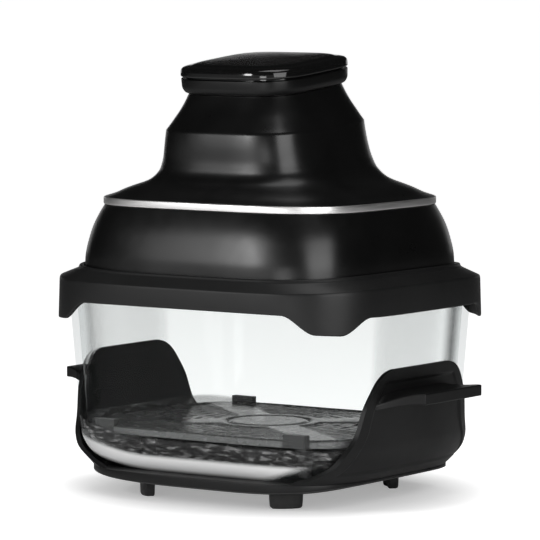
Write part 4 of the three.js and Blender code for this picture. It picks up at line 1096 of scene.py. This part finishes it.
def slot_cutter(wall_x, wall_y):
    """Air slots along circles round the middle, only inside the sunk fields."""
    shape = slot_outline(SLOT_HALF_WIDTH, SLOT_HALF_LENGTH, SLOT_SIDES)
    points, faces = [], []
    for circle in range(SLOT_RINGS):
        radius = GROOVE_RADIUS + SLOT_FIRST + circle * SLOT_PITCH
        step = SLOT_SPACING / radius
        for k in range(int(2 * math.pi / step)):
            angle = (k + 0.5 * (circle % 2)) * step
            cos, sin = math.cos(angle), math.sin(angle)
            x, y = radius * cos, radius * sin
            near_spoke = from_spoke(x, y) < SPOKE_HALF + SLOT_FROM_SPOKE
            if near_spoke or from_rim(x, y, wall_x, wall_y) < SLOT_FROM_RIM:
                continue
            faces += tube_faces(2, SLOT_SIDES, start=len(points))
            for z in (PLATE_TOP - SLOT_BELOW, PLATE_TOP + SLOT_ABOVE):
                points += [(x + u * cos - v * sin, y + u * sin + v * cos, z) for u, v in shape]
    return points, faces


def bumpers():
    """Silicone clips on the plate's rim: soft-edged blocks, cut back where the rim runs behind them."""
    wall_x, wall_y = bowl_halves(PLATE_TOP, -GLASS)
    outer = side_x((wall_y, wall_x, BOWL_POWER), BUMPER_X + BUMPER_LENGTH / 2) - 2 * SEAT
    plate_x, plate_y = bowl_halves(PLATE_TOP, -GLASS - PLATE_GAP)
    columns = [BUMPER_X + BUMPER_LENGTH * (c / BUMPER_COLUMNS - 0.5) for c in range(BUMPER_COLUMNS + 1)]
    count = 2 * len(columns)
    for name, sx, sy in CORNERS:
        points = []
        for r in range(BUMPER_ROWS + 1):
            z = PLATE_TOP - BUMPER_BELOW + BUMPER_HEIGHT * r / BUMPER_ROWS
            points += [(sx * x, sy * outer, z) for x in columns]
            for x in reversed(columns):
                back = outer - BUMPER_DEPTH
                if z < PLATE_TOP:
                    back = max(back, side_x((plate_y, plate_x, BOWL_POWER), x) + SEAT)
                points.append((sx * x, sy * back, z))
        order = 1 if sx * sy < 0 else -1
        faces = [quad[::order] for quad in tube_faces(BUMPER_ROWS + 1, count, "open")]
        for r in (0, BUMPER_ROWS):
            for c in range(BUMPER_COLUMNS):
                a, b = r * count + c, r * count + count - 1 - c
                quad = (a, b, b - 1, a + 1)
                faces.append(quad[::order] if r == 0 else quad[::-order])
        piece = bevel(make_mesh(f"rim_bumper_{name}", points, faces, sharp=40), 0.5, 40)
        dress(piece, "bumper", "plate_body", "silicone", f"plate_bumper_{name}")


def plunger_spring():
    """Coil spring on the interlock plunger, made at one fixed length, though the real one shortens as the
    plunger rises.
    """
    low, high = (np.array(corner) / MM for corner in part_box("plunger_spring"))
    x, y, _ = (low + high) / 2
    count = SPRING_TURNS * SPRING_STEPS + 1
    points = []
    for k in range(count):
        angle = k / SPRING_STEPS * 2 * math.pi
        z = mix(low[2] + SPRING_WIRE, high[2] - SPRING_WIRE, k / (count - 1))
        for side in range(SPRING_SIDES):
            turn = side / SPRING_SIDES * 2 * math.pi
            out = SPRING_RADIUS + SPRING_WIRE * math.cos(turn)
            up = SPRING_WIRE * math.sin(turn)
            points.append((x + out * math.cos(angle), y + out * math.sin(angle), z + up))
    piece = make_mesh("coil_spring", points, tube_faces(count, SPRING_SIDES, flip=True))
    dress(piece, "steel", "head_body", "sheet_steel", "plunger_spring")
    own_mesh(piece)


# Camera, floor and light


def camera():
    data = bpy.data.cameras.new("camera")
    data.lens, data.sensor_width, data.shift_y = LENS, SENSOR, SHIFT_Y
    data.clip_start, data.clip_end = CLIP
    obj = add_object("camera", data)
    flat = math.cos(ELEVATION)
    back = np.array([math.sin(AZIMUTH) * flat, -math.cos(AZIMUTH) * flat, math.sin(ELEVATION)])
    obj.location = (back * DISTANCE + [0, 0, AIM_Z]) * MM
    obj.rotation_euler = (math.pi / 2 - ELEVATION, 0, AZIMUTH)
    bpy.context.scene.camera = obj


def seen_directly(s):
    """1 for what the camera sees straight or through glass, 0 for all light that falls on the object."""
    path = s.node("LightPath").outputs
    plain = path["Is Transmission Ray"]
    for depth in ("Diffuse Depth", "Glossy Depth"):
        plain = s.math("MULTIPLY", plain, s.math("LESS_THAN", path[depth], 0.5))
    return s.math("MAXIMUM", path["Is Camera Ray"], plain)


def floor():
    h = FLOOR_HALF
    piece = make_mesh("floor", [(-h, -h, 0), (h, -h, 0), (h, h, 0), (-h, h, 0)], [(0, 1, 2, 3)])
    s = Shader("studio_floor")
    away = s.vector("LENGTH", s.coordinates)
    glow = s.span(away, GLOW_START * MM, GLOW_END * MM, FLOOR_GLOW_NEAR, FLOOR_GLOW_FAR)
    ahead = s.vector("DOT_PRODUCT", s.vector("NORMALIZE", s.coordinates), (0, -1, 0))
    outer, inner = (math.cos(math.radians(angle)) for angle in (POOL_OUTER, POOL_INNER))
    pool = s.span(ahead, outer, inner, end=POOL_GLOW)
    s.set(
        Base_Color=s.greys(s.noise(0.6, 2.0), (0.3, 0.84), (0.7, 0.86)),
        Roughness=0.9,
        Emission_Strength=s.math("MULTIPLY", s.span(seen_directly(s), start=pool, soft=False), glow),
        Specular_IOR_Level=0.0,
    )
    s.material.cycles.emission_sampling = "NONE"
    piece.data.materials.append(s.material)


def world():
    made = bpy.data.worlds.new("studio")
    bpy.context.scene.world = made
    made.use_nodes = True
    s = Nodes(made.node_tree)
    background = s.tree.nodes["Background"]
    s.put(background.inputs["Strength"], s.span(seen_directly(s), start=AMBIENT, soft=False))
    s.put(background.inputs["Color"], (1, 1, 1, 1))


def backdrop():
    """Low white wall far behind the object: it shows in mirroring and glassy surfaces only."""
    back = np.array([-math.sin(AZIMUTH), math.cos(AZIMUTH), 0]) * BACKDROP_AWAY
    side = np.array([math.cos(AZIMUTH), math.sin(AZIMUTH), 0]) * BACKDROP_HALF
    up = np.array([0, 0, BACKDROP_TOP])
    corners = [back - side, back + side, back + side + up, back - side + up]
    piece = make_mesh("backdrop", corners, [(0, 1, 2, 3)])
    s = Shader("white_wall")
    diffuse = s.node("LightPath").outputs["Is Diffuse Ray"]
    glow = s.node(
        "Emission", Strength=s.span(diffuse, start=BACKDROP_GLOW, end=0.0, soft=False),
        Color=s.greys(s.noise(0.3, 2.0), (0.3, 0.97), (0.7, 1.0)),
    )
    s.show(glow.outputs[0])
    s.material.cycles.emission_sampling = "NONE"
    piece.data.materials.append(s.material)
    piece.visible_camera = False


def lamp(name, azimuth, distance, height, size, radiance):
    """A soft box round the object, which gives the same radiance at any size."""
    data = bpy.data.lights.new(name, "AREA")
    data.shape = "RECTANGLE"
    data.size, data.size_y = size[0] * MM, size[1] * MM
    data.energy = radiance * math.pi * data.size * data.size_y
    obj = add_object(name, data)
    turn = math.radians(azimuth)
    obj.location = np.array([math.sin(turn) * distance, -math.cos(turn) * distance, height]) * MM
    drop = math.atan2(height - LAMP_AIM, distance)
    obj.rotation_euler = (math.pi / 2 - drop, 0, turn)
    obj.visible_camera = False


camera()
floor()
backdrop()
world()
for placing in LAMPS:
    lamp(*placing)
repaint_nodes()
glass_bowl()
tray()
both_sides("side_panel", panel_grid, 0.7, 50)
both_sides("grip", grip_grid, 0.9, 45)
feet()
lid_ring()
lower_housing()
trim_band()
upper_housing()
rim_collar()
touch_panel()
crisper_plate()
bumpers()
plunger_spring()
